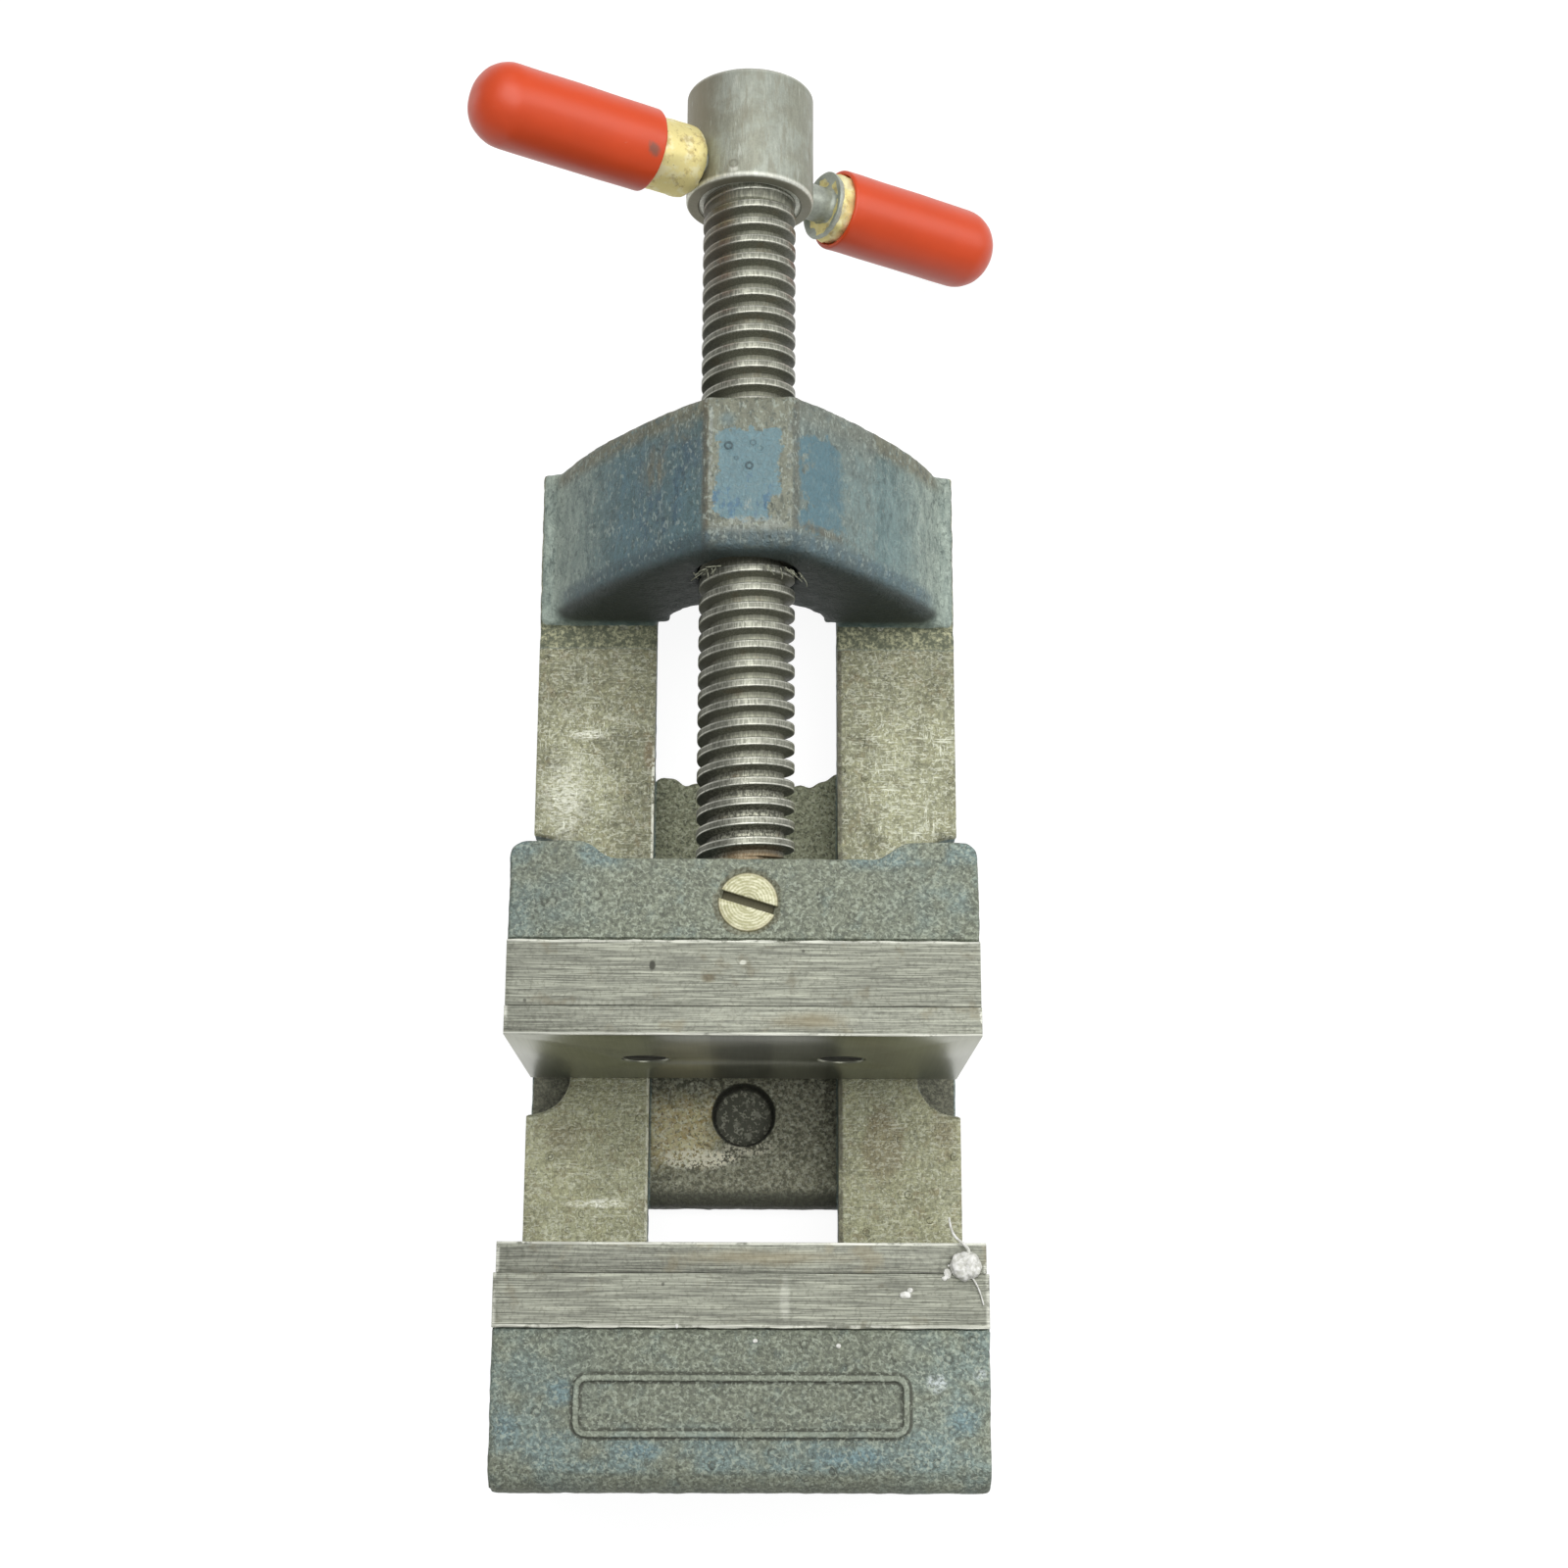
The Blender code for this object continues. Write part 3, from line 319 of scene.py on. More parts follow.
def arc(centre, radius, start, end, steps):
    """Points on an arc in a profile, angles in degrees."""
    angles = np.radians(np.linspace(start, end, steps + 1))
    return [(centre[0] + radius * math.cos(a), centre[1] + radius * math.sin(a)) for a in angles]


def frame_along(origin, direction):
    """A matrix that puts local Z along a direction, at an origin."""
    turn = Vector(direction).to_track_quat("Z", "Y").to_matrix().to_4x4()
    return Matrix.Translation(origin) @ turn


def dress(piece, body, slot_name, material, *nodes):
    """Gives a piece its finish and its body, and hides the CAD nodes it stands for."""
    piece.data.materials.clear()
    piece.data.materials.append(material)
    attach(piece, body)
    if nodes:
        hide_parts(*nodes)
    return piece


# Material helpers

class Field:
    """A number or colour that varies over a surface. Sums and products add Math nodes."""

    def __init__(self, maker, socket):
        self.maker = maker
        self.socket = socket

    def math(self, operation, first, second):
        node = self.maker.node("ShaderNodeMath", {"operation": operation}, {0: first, 1: second})
        return self.maker.field(node, 0)

    def __add__(self, other):
        return self.math("ADD", self, other)

    def __radd__(self, other):
        return self.math("ADD", other, self)

    def __sub__(self, other):
        return self.math("SUBTRACT", self, other)

    def __rsub__(self, other):
        return self.math("SUBTRACT", other, self)

    def __mul__(self, other):
        return self.math("MULTIPLY", self, other)

    def __rmul__(self, other):
        return self.math("MULTIPLY", other, self)

    def __truediv__(self, other):
        return self.math("DIVIDE", self, other)

    def __pow__(self, other):
        return self.math("POWER", self, other)

    def __abs__(self):
        return self.math("ABSOLUTE", self, 0.0)

    def or_more(self, other):
        return self.math("MAXIMUM", self, other)

    def or_less(self, other):
        return self.math("MINIMUM", self, other)

    def rise(self, low, high):
        """0 below low, 1 above high and smooth between. Falls where low is above high."""
        if low > high:
            return 1 - self.rise(high, low)
        node = self.maker.node("ShaderNodeMapRange", {"interpolation_type": "SMOOTHSTEP"},
                               {"Value": self, "From Min": low, "From Max": high})
        return self.maker.field(node, "Result")


def hypot(first, second):
    """The length of the long side over two short ones."""
    return (first * first + second * second) ** 0.5


def strongest(first, *others):
    """The highest of several fields at each point."""
    for other in others:
        first = first.or_more(other)
    return first


class Maker:
    """Builds one material around its Principled shader."""

    def __init__(self, name, **constants):
        self.material = bpy.data.materials.new(name)
        self.material.use_nodes = True
        self.tree = self.material.node_tree
        self.shader = self.tree.nodes["Principled BSDF"]
        for key, value in constants.items():
            self.shader.inputs[key.replace("_", " ").title()].default_value = value
        self.place = self.field(self.node("ShaderNodeTexCoord"), "Object")
        self.x, self.y, self.z = (self.axis(name) * 1000.0 for name in "XYZ")

    def node(self, kind, settings=None, inputs=None):
        node = self.tree.nodes.new(kind)
        for key, value in (settings or {}).items():
            setattr(node, key, value)
        for key, value in (inputs or {}).items():
            if isinstance(value, Field):
                self.tree.links.new(value.socket, node.inputs[key])
            else:
                node.inputs[key].default_value = value
        return node

    def field(self, node, output):
        return Field(self, node.outputs[output])

    def axis(self, name):
        return self.field(self.node("ShaderNodeSeparateXYZ", None, {0: self.place}), name)

    def stretched(self, stretch, shift=(0.0, 0.0, 0.0)):
        node = self.node("ShaderNodeMapping", None,
                         {"Vector": self.place, "Scale": stretch, "Location": shift})
        return self.field(node, "Vector")

    def noise(self, size, detail=2.0, roughness=0.5, stretch=(1.0, 1.0, 1.0), warp=0.0, seed=0.0):
        """A noise whose features are about size millimetres wide, from 0 to 1."""
        scale = tuple(1000.0 / size / part for part in stretch)
        node = self.node("ShaderNodeTexNoise", None,
                         {"Vector": self.stretched(scale, (seed, seed * 0.7, seed * 1.3)),
                          "Scale": 1.0, "Detail": detail, "Roughness": roughness,
                          "Distortion": warp})
        return self.field(node, "Fac")

    def cells(self, size, stretch=(1.0, 1.0, 1.0), seed=0.0):
        """Distance to the nearest of scattered points that lie about size millimetres apart."""
        scale = tuple(1000.0 / size / part for part in stretch)
        node = self.node("ShaderNodeTexVoronoi", None,
                         {"Vector": self.stretched(scale, (seed, seed, seed)), "Scale": 1.0})
        return self.field(node, "Distance")

    def curls(self, size, width=0.09, stretch=(1.0, 1.0, 1.0), seed=0.0, share=0.5):
        """Thin winding lines that are broken up at random."""
        line = abs(self.noise(size, 1.0, 0.5, stretch, seed=seed) - 0.5).rise(width, 0.3 * width)
        return line * self.noise(0.8 * size, 1.0, seed=seed + 31.0).rise(share, share + 0.06)

    def patch(self, x, y, ragged, wander=1.0, soft=0.3):
        """1 over an upright box column, x and y as (low, high) millimetres, with ragged edges."""
        inside = 1.0
        for place, (low, high) in ((self.x, x), (self.y, y)):
            moved = place + (ragged - 0.5) * (2 * wander)
            inside = (moved.rise(low - soft, low + soft) * moved.rise(high + soft, high - soft)
                      * inside)
        return inside

    def spots(self, ragged, *rows):
        """The strongest of several spots: x, y, both reaches, softness and strength of each."""
        found = [self.spot(*row[:4], ragged, row[4]) * row[5] for row in rows]
        return strongest(*found)

    def ring(self, x, y, radius, width=0.22):
        """1 on an upright tube at x and y, in millimetres."""
        return abs(hypot(self.x - x, self.y - y) - radius).rise(width, 0.4 * width)

    def phase(self, pitch):
        """Where a point lies within one pitch of the thread, from 0 to 1."""
        axis = frame_along(SCREW_AXIS, (0.0, 1.0, 0.0))
        rise = self.z - AXIS_Z / MM
        first, second = (self.x * axis.col[i].x + rise * axis.col[i].z for i in (0, 1))
        turn = second.math("ARCTAN2", second, first) / math.tau
        height = (self.y - THREAD_START / MM) / pitch - turn
        return height.math("FRACT", height, 0.0)

    def spot(self, x, y, reach_x, reach_y, ragged=None, soft=0.5):
        """1 in the middle of an upright oval column at x and y, in millimetres, 0 outside it."""
        away = hypot((self.x - x) / reach_x, (self.y - y) / reach_y)
        if ragged is not None:
            away = away + (ragged - 0.5) * 0.9
        return away.rise(1.0, 1.0 - soft)

    def mix(self, first, second, share):
        node = self.node("ShaderNodeMix", {"data_type": "RGBA"})
        for index, value in ((0, share), (6, first), (7, second)):
            if isinstance(value, Field):
                self.tree.links.new(value.socket, node.inputs[index])
            elif index == 0:
                node.inputs[index].default_value = value
            else:
                node.inputs[index].default_value = (*value[:3], 1.0)
        return self.field(node, 2)

    def tint(self, tone, amount):
        """Multiplies a colour by a number that varies."""
        node = self.node("ShaderNodeVectorMath", {"operation": "SCALE"},
                         {0: tone, "Scale": amount})
        return self.field(node, 0)

    def bump(self, height, depth, strength=1.0):
        """Raises the surface by a field times a depth in millimetres."""
        node = self.node("ShaderNodeBump", None,
                         {"Height": height, "Distance": depth * MM, "Strength": strength})
        self.set("Normal", self.field(node, "Normal"))

    def set(self, name, value):
        socket = self.shader.inputs[name]
        if isinstance(value, Field):
            self.tree.links.new(value.socket, socket)
        elif isinstance(socket.default_value, float):
            socket.default_value = value
        else:
            socket.default_value = (*value[:3], 1.0)


class CastIron(Maker):
    """The finish of both castings: worn paint, ground rail tops and the dark web."""

    def __init__(self, settings):
        super().__init__("painted_casting")
        self.settings = settings
        self.fine = self.noise(0.5, 3.0, 0.65)
        self.grit = self.fine.rise(0.36, 0.64)
        self.grain = self.noise(1.3, 3.0, 0.65, seed=2.0)
        self.ragged = self.noise(2.4, 4.0, 0.7, seed=5.0)
        self.patches = self.noise(7.0, 3.0, 0.6)
        self.broad = self.noise(20.0, 2.0, 0.5)
        self.light_curls = self.curls(0.8, 0.10, seed=3.0)
        self.dark_curls = self.curls(0.8, 0.10, seed=17.0)
        # Small blisters: a dark ring painted round each as shade and a light centre as a painted
        # highlight; the bump uses both too
        near = self.cells(2.9, seed=8.0)
        chosen = self.noise(4.0, 1.0, seed=4.0).rise(0.5, 0.58)
        self.blisters = near.rise(0.13, 0.16) * near.rise(0.25, 0.21) * chosen
        self.pits_and_highlights = near.rise(0.13, 0.08) * chosen

    def wear(self, tone, low=0.66, high=1.22):
        """Breaks a colour up by the grain of the casting."""
        return self.tint(tone, self.grit * (high - low) + low + (self.grain - 0.5) * 0.9)

    def jaws(self):
        """Dull grey-green iron with a blue tinge left of the paint."""
        settings = self.settings
        ends = abs(self.x).rise(15.0, 29.0) * 0.75
        front = self.y.rise(-66.5, -69.0) * self.y.rise(-74.0, -72.5)
        rear = self.y.rise(3.2, 5.0) * abs(self.x).rise(12.0, 15.0)
        low = self.z.rise(52.0, 44.0)
        tinge = strongest(ends, front, rear, low) * self.patches.rise(0.36, 0.58)
        tone = self.mix(settings.bare, settings.tinge,
                        tinge.or_more(self.ragged.rise(0.5, 0.75) * 0.5))
        blue = self.spots(self.ragged, (-22.7, -63.4, 2.6, 2.4, 0.8, 1.0),
                          (28.0, -66.5, 3.6, 3.6, 0.8, 1.0), (-12.8, -70.5, 5.0, 1.4, 0.8, 1.0),
                          (14.5, -71.2, 7.0, 1.5, 0.8, 1.0), (-29.5, -68.0, 3.0, 4.0, 0.9, 1.0))
        blue = blue.or_more(low * self.ragged.rise(0.42, 0.55) * 0.8)
        tone = self.mix(tone, settings.paint, blue * 0.6)
        tone = self.wear(tone)
        chips = self.spots(self.grain, (24.7, -62.3, 1.7, 1.5, 0.6, 1.0),
                           (30.2, -61.2, 1.2, 0.9, 0.6, 1.0))
        return self.mix(tone, (0.62, 0.68, 0.68), chips * self.grit * 0.9)

    def rim_shade_and_highlight(self):
        """Painted shade on both sides of the blank panel's rim, and a painted highlight on its top.
        """
        x, y = (part / MM for part in RIM_CENTRE)
        dx = (abs(self.x - x) - (RIM_LENGTH / 2 - RIM_CORNER) / MM).or_more(0.0)
        dy = (abs(self.y - y) - (RIM_WIDTH / 2 - RIM_CORNER) / MM).or_more(0.0)
        outside = hypot(dx, dy) - (RIM_CORNER - RIM_BREADTH / 2) / MM
        # Painted shade beside the rim
        edge = abs(abs(outside) - 0.55).rise(0.36, 0.1) * self.grain.rise(0.3, 0.5)
        # Painted highlight on the rim's top
        top = abs(outside).rise(0.4, 0.2)
        on_top = self.z.rise(54.6, 54.9) * self.y.rise(-57.0, -58.0)
        return edge * on_top, top * on_top

    def yoke(self):
        """Blue paint in patches between scraped and brown edges, with painted highlights on drips
        in the paint and painted shade on the rolled front edge and the front face.
        """
        settings = self.settings
        ragged = self.ragged + (self.grain - 0.5) * 0.5
        mottle = self.noise(1.5, 4.0, 0.65, (1.0, 2.4, 1.0), seed=7.0)
        streaks = mottle.rise(0.36, 0.64)
        tone = self.mix(settings.dull_paint, settings.tinge,
                        (streaks * 0.45 + (self.patches - 0.5) * 1.2 + 0.25).rise(0.0, 1.0))
        left_blue = self.patch((-21.0, -6.8), (53.5, 72.5), ragged, 3.0, 3.0)
        tone = self.mix(tone, (0.115, 0.215, 0.255), left_blue * (0.35 + streaks * 0.5))
        navy = self.patch((-17.0, -6.6), (56.0, 71.5), ragged, 4.0, 2.5)
        navy = navy * (mottle + (self.patches - 0.5) * 0.7).rise(0.46, 0.60)
        tone = self.mix(tone, (0.055, 0.105, 0.145), navy * 0.66)
        ends = abs(self.x + 0.3).rise(20.0, 29.5)
        tone = self.mix(tone, (0.42, 0.50, 0.43), ends * (0.65 + streaks * 0.3))
        rear_edge = self.y.rise(71.5, 73.8) * self.z.rise(14.0, 18.0)
        brown = self.spots(ragged, (-13.5, 67.5, 3.0, 5.0, 0.7, 1.0),
                           (-9.0, 71.5, 5.0, 2.2, 0.7, 1.0))
        tone = self.mix(tone, (0.215, 0.205, 0.135),
                        (rear_edge * ragged.rise(0.3, 0.5)).or_more(brown * streaks) * 0.8)

        flat = self.patch((-5.9, 6.5), (53.0, 90.0), ragged, 0.1, 0.2)
        tone = self.mix(tone, (0.27, 0.28, 0.21), flat * 0.9)
        right_edge = self.patch((6.4, 19.0), (53.0, 90.0), ragged, 1.4, 0.5)
        tone = self.mix(tone, (0.24, 0.275, 0.24), right_edge * 0.7)
        centre = strongest(self.patch((-4.2, 4.7), (60.6, 70.6), ragged, 2.3, 0.2),
                           self.patch((-5.1, 3.3), (57.0, 61.5), ragged, 2.0, 0.15),
                           self.spot(-3.0, 72.3, 2.0, 1.6, ragged, 0.8) * 0.5)
        faded = self.x + (ragged - 0.5) * 7.0 + (self.patches - 0.5) * 8.0
        right = self.patch((7.5, 14.6), (57.0, 70.6), ragged + (self.patches - 0.5) * 1.3, 3.4, 0.5)
        right = right * (0.5 + faded.rise(16.0, 11.0) * 0.5)
        far = self.patch((14.0, 25.0), (55.0, 70.0), ragged, 3.0, 2.5) * (0.35 + streaks * 0.4)
        whole = strongest(centre, right, far)
        blue = self.mix(settings.paint, (0.112, 0.215, 0.255), self.x.rise(6.8, 7.6))
        blue = self.mix(blue, (0.20, 0.30, 0.30), faded.rise(12.2, 15.6))
        strokes = self.patch((-5.5, 3.4), (56.5, 64.0), ragged, 1.6, 0.8)
        blue = self.mix(blue, (0.07, 0.165, 0.265), strokes * mottle.rise(0.52, 0.6) * 0.75)
        tone = self.mix(tone, blue, whole * (0.85 + self.grit * 0.15))

        seam = strongest(abs(self.x + 6.05 + (ragged - 0.5) * 0.6).rise(0.7, 0.15) * 0.75,
                         abs(self.x - 6.9 + (ragged - 0.5) * 0.8).rise(0.8, 0.2) * 0.5,
                         self.spot(11.0, 56.6, 5.5, 0.9, ragged, 0.8) * 0.6)
        tone = self.mix(tone, (0.13, 0.115, 0.075), seam)
        scraped = abs(self.x + 5.3).rise(0.4, 0.1).or_more(abs(self.x - 6.0).rise(0.4, 0.1) * 0.7)
        low_edge = self.patch((-5.3, 6.0), (55.2, 57.2), ragged, 0.9, 0.5) * 0.7
        scraped = (scraped * self.y.rise(55.5, 56.5) * ragged.rise(0.38, 0.55)).or_more(low_edge)
        scuffed = self.patch((-4.8, 4.0), (56.5, 60.5), ragged, 1.4, 0.9)
        scraped = (scraped * self.grain.rise(0.40, 0.56)).or_more(
            scuffed * mottle.rise(0.44, 0.34) * 0.8)
        tone = self.mix(tone, (0.43, 0.47, 0.42), scraped * 0.8)

        # The rolled front edge: blue paint there, painted darker as shade, darkest on the left
        roll = self.y.rise(56.3, 54.6) * self.z.rise(16.0, 20.0)
        rolled = self.mix((0.065, 0.105, 0.12), (0.10, 0.165, 0.195), self.x.rise(-9.0, 0.0))
        tone = self.mix(tone, rolled, roll * (0.5 + streaks * 0.35))
        tone = self.tint(tone, 0.86 + (self.grit - 0.5) * (0.20 - whole * 0.12)
                         + (mottle - 0.5) * (0.9 - whole * 0.5) + whole * 0.10)
        bare = (1 - whole * 0.75) * self.y.rise(53.0, 54.5)
        # Painted highlights on drips in the paint: light flecks and streaks where the paint is not
        # whole
        drip_highlights = self.noise(0.42, 2.0, 0.6, (1.0, 3.0, 1.0), seed=15.0).rise(0.58, 0.70)
        drip_highlights = drip_highlights * (self.patches + (self.grain - 0.5) * 0.6).rise(0.42, 0.60)
        light = (drip_highlights * 0.55).or_more(self.curls(1.1, 0.07, (0.8, 2.6, 0.8), 23.0, 0.54) * 0.42)
        tone = self.mix(tone, (0.54, 0.62, 0.55), light * bare * 0.85)
        tone = self.mix(tone, (0.05, 0.07, 0.065),
                        self.curls(1.2, 0.07, (0.8, 2.2, 0.8), 29.0, 0.52) * bare * 0.45)
        # Painted shade: the yoke's front face is painted near black
        front = self.y.rise(53.8, 52.4) * self.z.rise(15.0, 17.0)
        return self.mix(tone, (0.038, 0.048, 0.040), front * 0.9)

    def blister_rings_and_shade(self):
        # Dark rings round the yoke's blisters: painted shade in the colour and raised rings in the
        # bump
        return strongest(*(self.ring(x, y, radius, width) * strength
                           for x, y, radius, width, strength, _, _ in BUBBLES))

    def web(self):
        """Oily cast floor with a brown patch and a cream tide line, with painted shade in the blind
        seat and along the front edge.
        """
        settings = self.settings
        grit = self.noise(0.55, 3.0, 0.7, seed=12.0).rise(0.40, 0.64)
        specks = self.cells(0.9, (1.6, 1.0, 1.0), seed=6.0).rise(0.28, 0.16)
        low = self.y.rise(-28.0, -31.0) * 0.08
        floor = self.mix(settings.dark, (0.58, 0.58, 0.42), grit * 0.58 + low)
        brown = self.patch((-14.5, -4.4), (-29.5, -20.5), self.ragged, 3.0, 2.2)
        stain = self.mix((0.56, 0.42, 0.17), (0.86, 0.82, 0.46), self.grain.rise(0.3, 0.7))
        stain = self.mix(self.mix(stain, (0.20, 0.17, 0.10), self.dark_curls * 0.8),
                         (1.0, 0.96, 0.72), self.light_curls.or_more(grit * 0.4))
        floor = self.mix(floor, stain, brown * 0.9)
        cream = self.spots(self.ragged, (-7.0, -29.2, 7.2, 1.7, 0.4, 1.0),
                           (0.6, -27.5, 4.4, 1.4, 0.4, 0.5))
        floor = self.mix(floor, (1.0, 0.97, 0.78),
                         cream * grit.rise(0.1, 0.6).or_more(self.light_curls))
        floor = self.mix(floor, (0.82, 0.84, 0.68),
                         (specks * (0.15 + grit * 0.5)).or_more(self.light_curls * 0.32))
        # The blind seat: painted dark as shade down in the hole, with light curled marks as painted
        # highlights and a near-black ring round its edge as painted shadow
        away = hypot(self.x - SEAT[0], self.y - SEAT[1])
        seat = away.rise(4.9, 4.5)
        blind = self.mix((0.13, 0.135, 0.10), (0.62, 0.63, 0.50),
                         (self.light_curls * 0.6).or_more(self.grain.rise(0.52, 0.66) * 0.45))
        floor = self.mix(floor, blind, seat)
        floor = self.mix(floor, (0.03, 0.03, 0.022), abs(away - 4.45).rise(0.5, 0.2) * 0.85)
        rear = self.y.rise(0.0, 10.0)
        back = self.mix((0.15, 0.16, 0.10), (0.46, 0.48, 0.32), grit * 0.55 + self.grain * 0.45
                        + self.x.rise(2.0, 8.0) * 0.08)
        back = self.mix(self.mix(back, (0.07, 0.075, 0.05), self.dark_curls * 0.7),
                        (0.60, 0.62, 0.45), self.light_curls * 0.6)
        floor = self.mix(floor, back, rear)
        # Painted shade along the rounded front edge of the web
        edge = self.y.rise(-33.2, -34.8)
        return self.mix(floor, (0.085, 0.088, 0.064), edge * 0.85)

    def rails(self):
        """Ground tops, crossed by light scratches and stained brown in places, with a painted
        highlight along the left rail's inner edge and painted shadow along the right one's.
        """
        settings = self.settings
        across = self.noise(0.20, 3.0, 0.6, (13.0, 1.0, 1.0), 0.5, 1.0).rise(0.54, 0.68)
        along = self.noise(0.20, 3.0, 0.6, (1.0, 8.0, 1.0), 0.8, 2.0).rise(0.55, 0.69)
        across = across * self.noise(3.4, 3.0, 0.6, seed=51.0).rise(0.40, 0.60)
        along = along * self.noise(2.8, 3.0, 0.6, seed=57.0).rise(0.42, 0.62)
        curls = self.curls(0.7, 0.10, (1.4, 1.0, 1.0), 37.0)
        dents = self.curls(0.7, 0.10, (1.0, 1.0, 1.0), 43.0, 0.48)
        grit = self.noise(0.6, 3.0, 0.7, seed=9.0).rise(0.36, 0.64)
        worn = strongest(self.patch((-31.0, -19.5), (12.0, 37.5), self.ragged, 3.0, 3.0),
                         self.patch((17.5, 32.0), (12.0, 38.0), self.ragged, 3.0, 4.0),
                         self.spot(-21.0, -36.6, 7.0, 1.2, self.ragged, 0.8),
                         self.patch((-31.0, -15.0), (-44.0, -30.0), self.patches, 4.0, 3.0) * 0.3)
        worn = worn * self.patches.rise(0.3, 0.55)
        scored = strongest(across * (0.55 + worn), along * (0.45 + worn),
                           curls * (0.36 + worn * 0.2)).or_less(1.0)
        near = self.y.rise(0.0, -20.0)
        green = self.mix(settings.ground, (0.27, 0.265, 0.15),
                         self.noise(3.0, 3.0, 0.65, seed=13.0))
        steel = self.tint(green, 0.58 + grit * 0.40 + (self.grain - 0.5) * 0.8
                          + worn * 0.34 + (self.broad - 0.5) * 0.4 + (self.patches - 0.5) * 0.7
                          + near * 0.30 + near * self.x.rise(-10.0, -16.0) * 0.08)
        brown = self.noise(2.2, 4.0, 0.75, seed=6.0).rise(0.52, 0.66) * 0.55
        steel = self.mix(steel, (0.21, 0.175, 0.095), brown * (1 - worn * 0.6))
        stains = self.spots(self.patches, (20.4, -28.5, 3.4, 6.2, 0.3, 0.5),
                            (-26.1, -27.0, 5.0, 3.5, 0.9, 0.35), (29.4, -26.0, 3.0, 4.0, 0.9, 0.5))
        stains = stains.or_more(self.spot(-14.6, 30.8, 1.2, 3.2, self.ragged, 0.6) * 0.8)
        steel = self.mix(steel, (0.19, 0.15, 0.085), stains)
        steel = self.mix(steel, (0.10, 0.10, 0.065), dents * 0.38)
        steel = self.mix(steel, (0.78, 0.80, 0.67), scored * 0.78)
        streak = self.spots(self.ragged, (-24.0, 33.8, 3.6, 0.9, 0.8, 1.0),
                            (-20.6, -36.5, 6.4, 0.9, 0.8, 1.0), (-27.0, 24.0, 4.5, 9.0, 0.9, 0.6))
        steel = self.mix(steel, (0.84, 0.85, 0.74),
                         streak * self.noise(0.3, 3.0, 0.65, (3.0, 1.0, 1.0)).rise(0.40, 0.58))
        # Painted highlight along the inner edge of the left rail
        inner = (self.x + 14.0).rise(-0.35, -0.1) * (self.x + 13.2).rise(0.1, -0.1)
        bright = inner * self.y.rise(33.0, 29.0) * self.grain.rise(0.42, 0.55)
        steel = self.mix(steel, (0.74, 0.75, 0.64), bright * (1 - near * 0.5))
        # Painted shadow along the inner edge of the right rail
        inner_edge_shadow = (self.x - 14.6).rise(0.1, -0.3) * self.x.rise(12.0, 12.5)
        return self.mix(steel, (0.09, 0.085, 0.06), inner_edge_shadow * self.ragged.rise(0.3, 0.5) * 0.8)


def cast_finish(settings):
    """Worn blue paint on cast iron, with the ground tops of the rails and the dark web."""
    m = CastIron(settings)
    on_yoke = m.y.rise(50.6, 51.0) * m.z.rise(14.0, 14.8)
    tops = m.z.rise(13.3, 13.7) * m.z.rise(14.6, 14.3) * abs(m.x).rise(13.2, 13.6)
    edge = m.y + (m.ragged - 0.5) * 0.7
    ground = tops * m.y.rise(-49.0, -48.6) * edge.rise(47.9, 47.4)
    band = tops * edge.rise(47.4, 47.9)
    inside = abs(m.x).rise(14.0, 13.7) * m.z.rise(7.5, 6.5)
    pocket = (abs(m.x).rise(25.0, 25.6) * abs(m.x).rise(31.65, 31.45) * m.z.rise(6.5, 6.0)
              * m.y.rise(-25.0, -24.0) * m.y.rise(19.0, 18.0))

    # The blank panel's rim: painted shade on both sides and a painted highlight on its top
    lines, rim = m.rim_shade_and_highlight()
    # Painted shade beside the rim and round each small blister
    jaws = m.mix(m.jaws(), (0.085, 0.09, 0.068), (lines * 0.9).or_more(m.blisters * 0.5))
    # Painted highlight on the rim's top
    jaws = m.mix(jaws, (0.38, 0.42, 0.33), rim * 0.5)
    jaws = m.mix(jaws, (0.07, 0.08, 0.06), m.dark_curls * 0.42)
    # Light curled marks, and a painted highlight in the middle of each small blister
    jaws = m.mix(jaws, (0.56, 0.62, 0.50), (m.light_curls * 0.42).or_more(m.pits_and_highlights * 0.4))
    fixed = m.y.rise(-50.0, -53.0)
    jaws = m.tint(jaws, 1.03 - fixed * 0.12 + fixed * m.x.rise(16.0, 26.0) * 0.16
                  - (1 - fixed) * m.x.rise(-20.0, -27.0) * 0.14)
    base = m.mix(jaws, m.yoke(), on_yoke)
    # Painted shade: a dark ring round each blister on the yoke
    base = m.mix(base, (0.07, 0.10, 0.11), m.blister_rings_and_shade() * on_yoke * 0.7)
    base = m.mix(base, m.web(), inside)
    base = m.mix(base, m.wear(m.mix((0.12, 0.12, 0.09), (0.28, 0.28, 0.20), m.grain)), pocket)
    crud = m.mix((0.125, 0.14, 0.09), (0.52, 0.52, 0.33), m.grit * m.grain.rise(0.35, 0.6))
    base = m.mix(base, crud, band)
    base = m.mix(base, m.rails(), ground)

    m.set("Base Color", base)
    m.set("Metallic", ground * 0.5)
    m.set("Roughness", 0.66 - on_yoke * 0.1 + (m.fine - 0.5) * 0.3 - ground * 0.18)
    m.bump(m.grit * 0.5 + m.grain * 0.7 + (m.blisters - m.pits_and_highlights) * 0.5 + m.blister_rings_and_shade() * on_yoke * 0.8
           - ground * m.grit * 0.3, 0.18, 0.9)
    return m.material


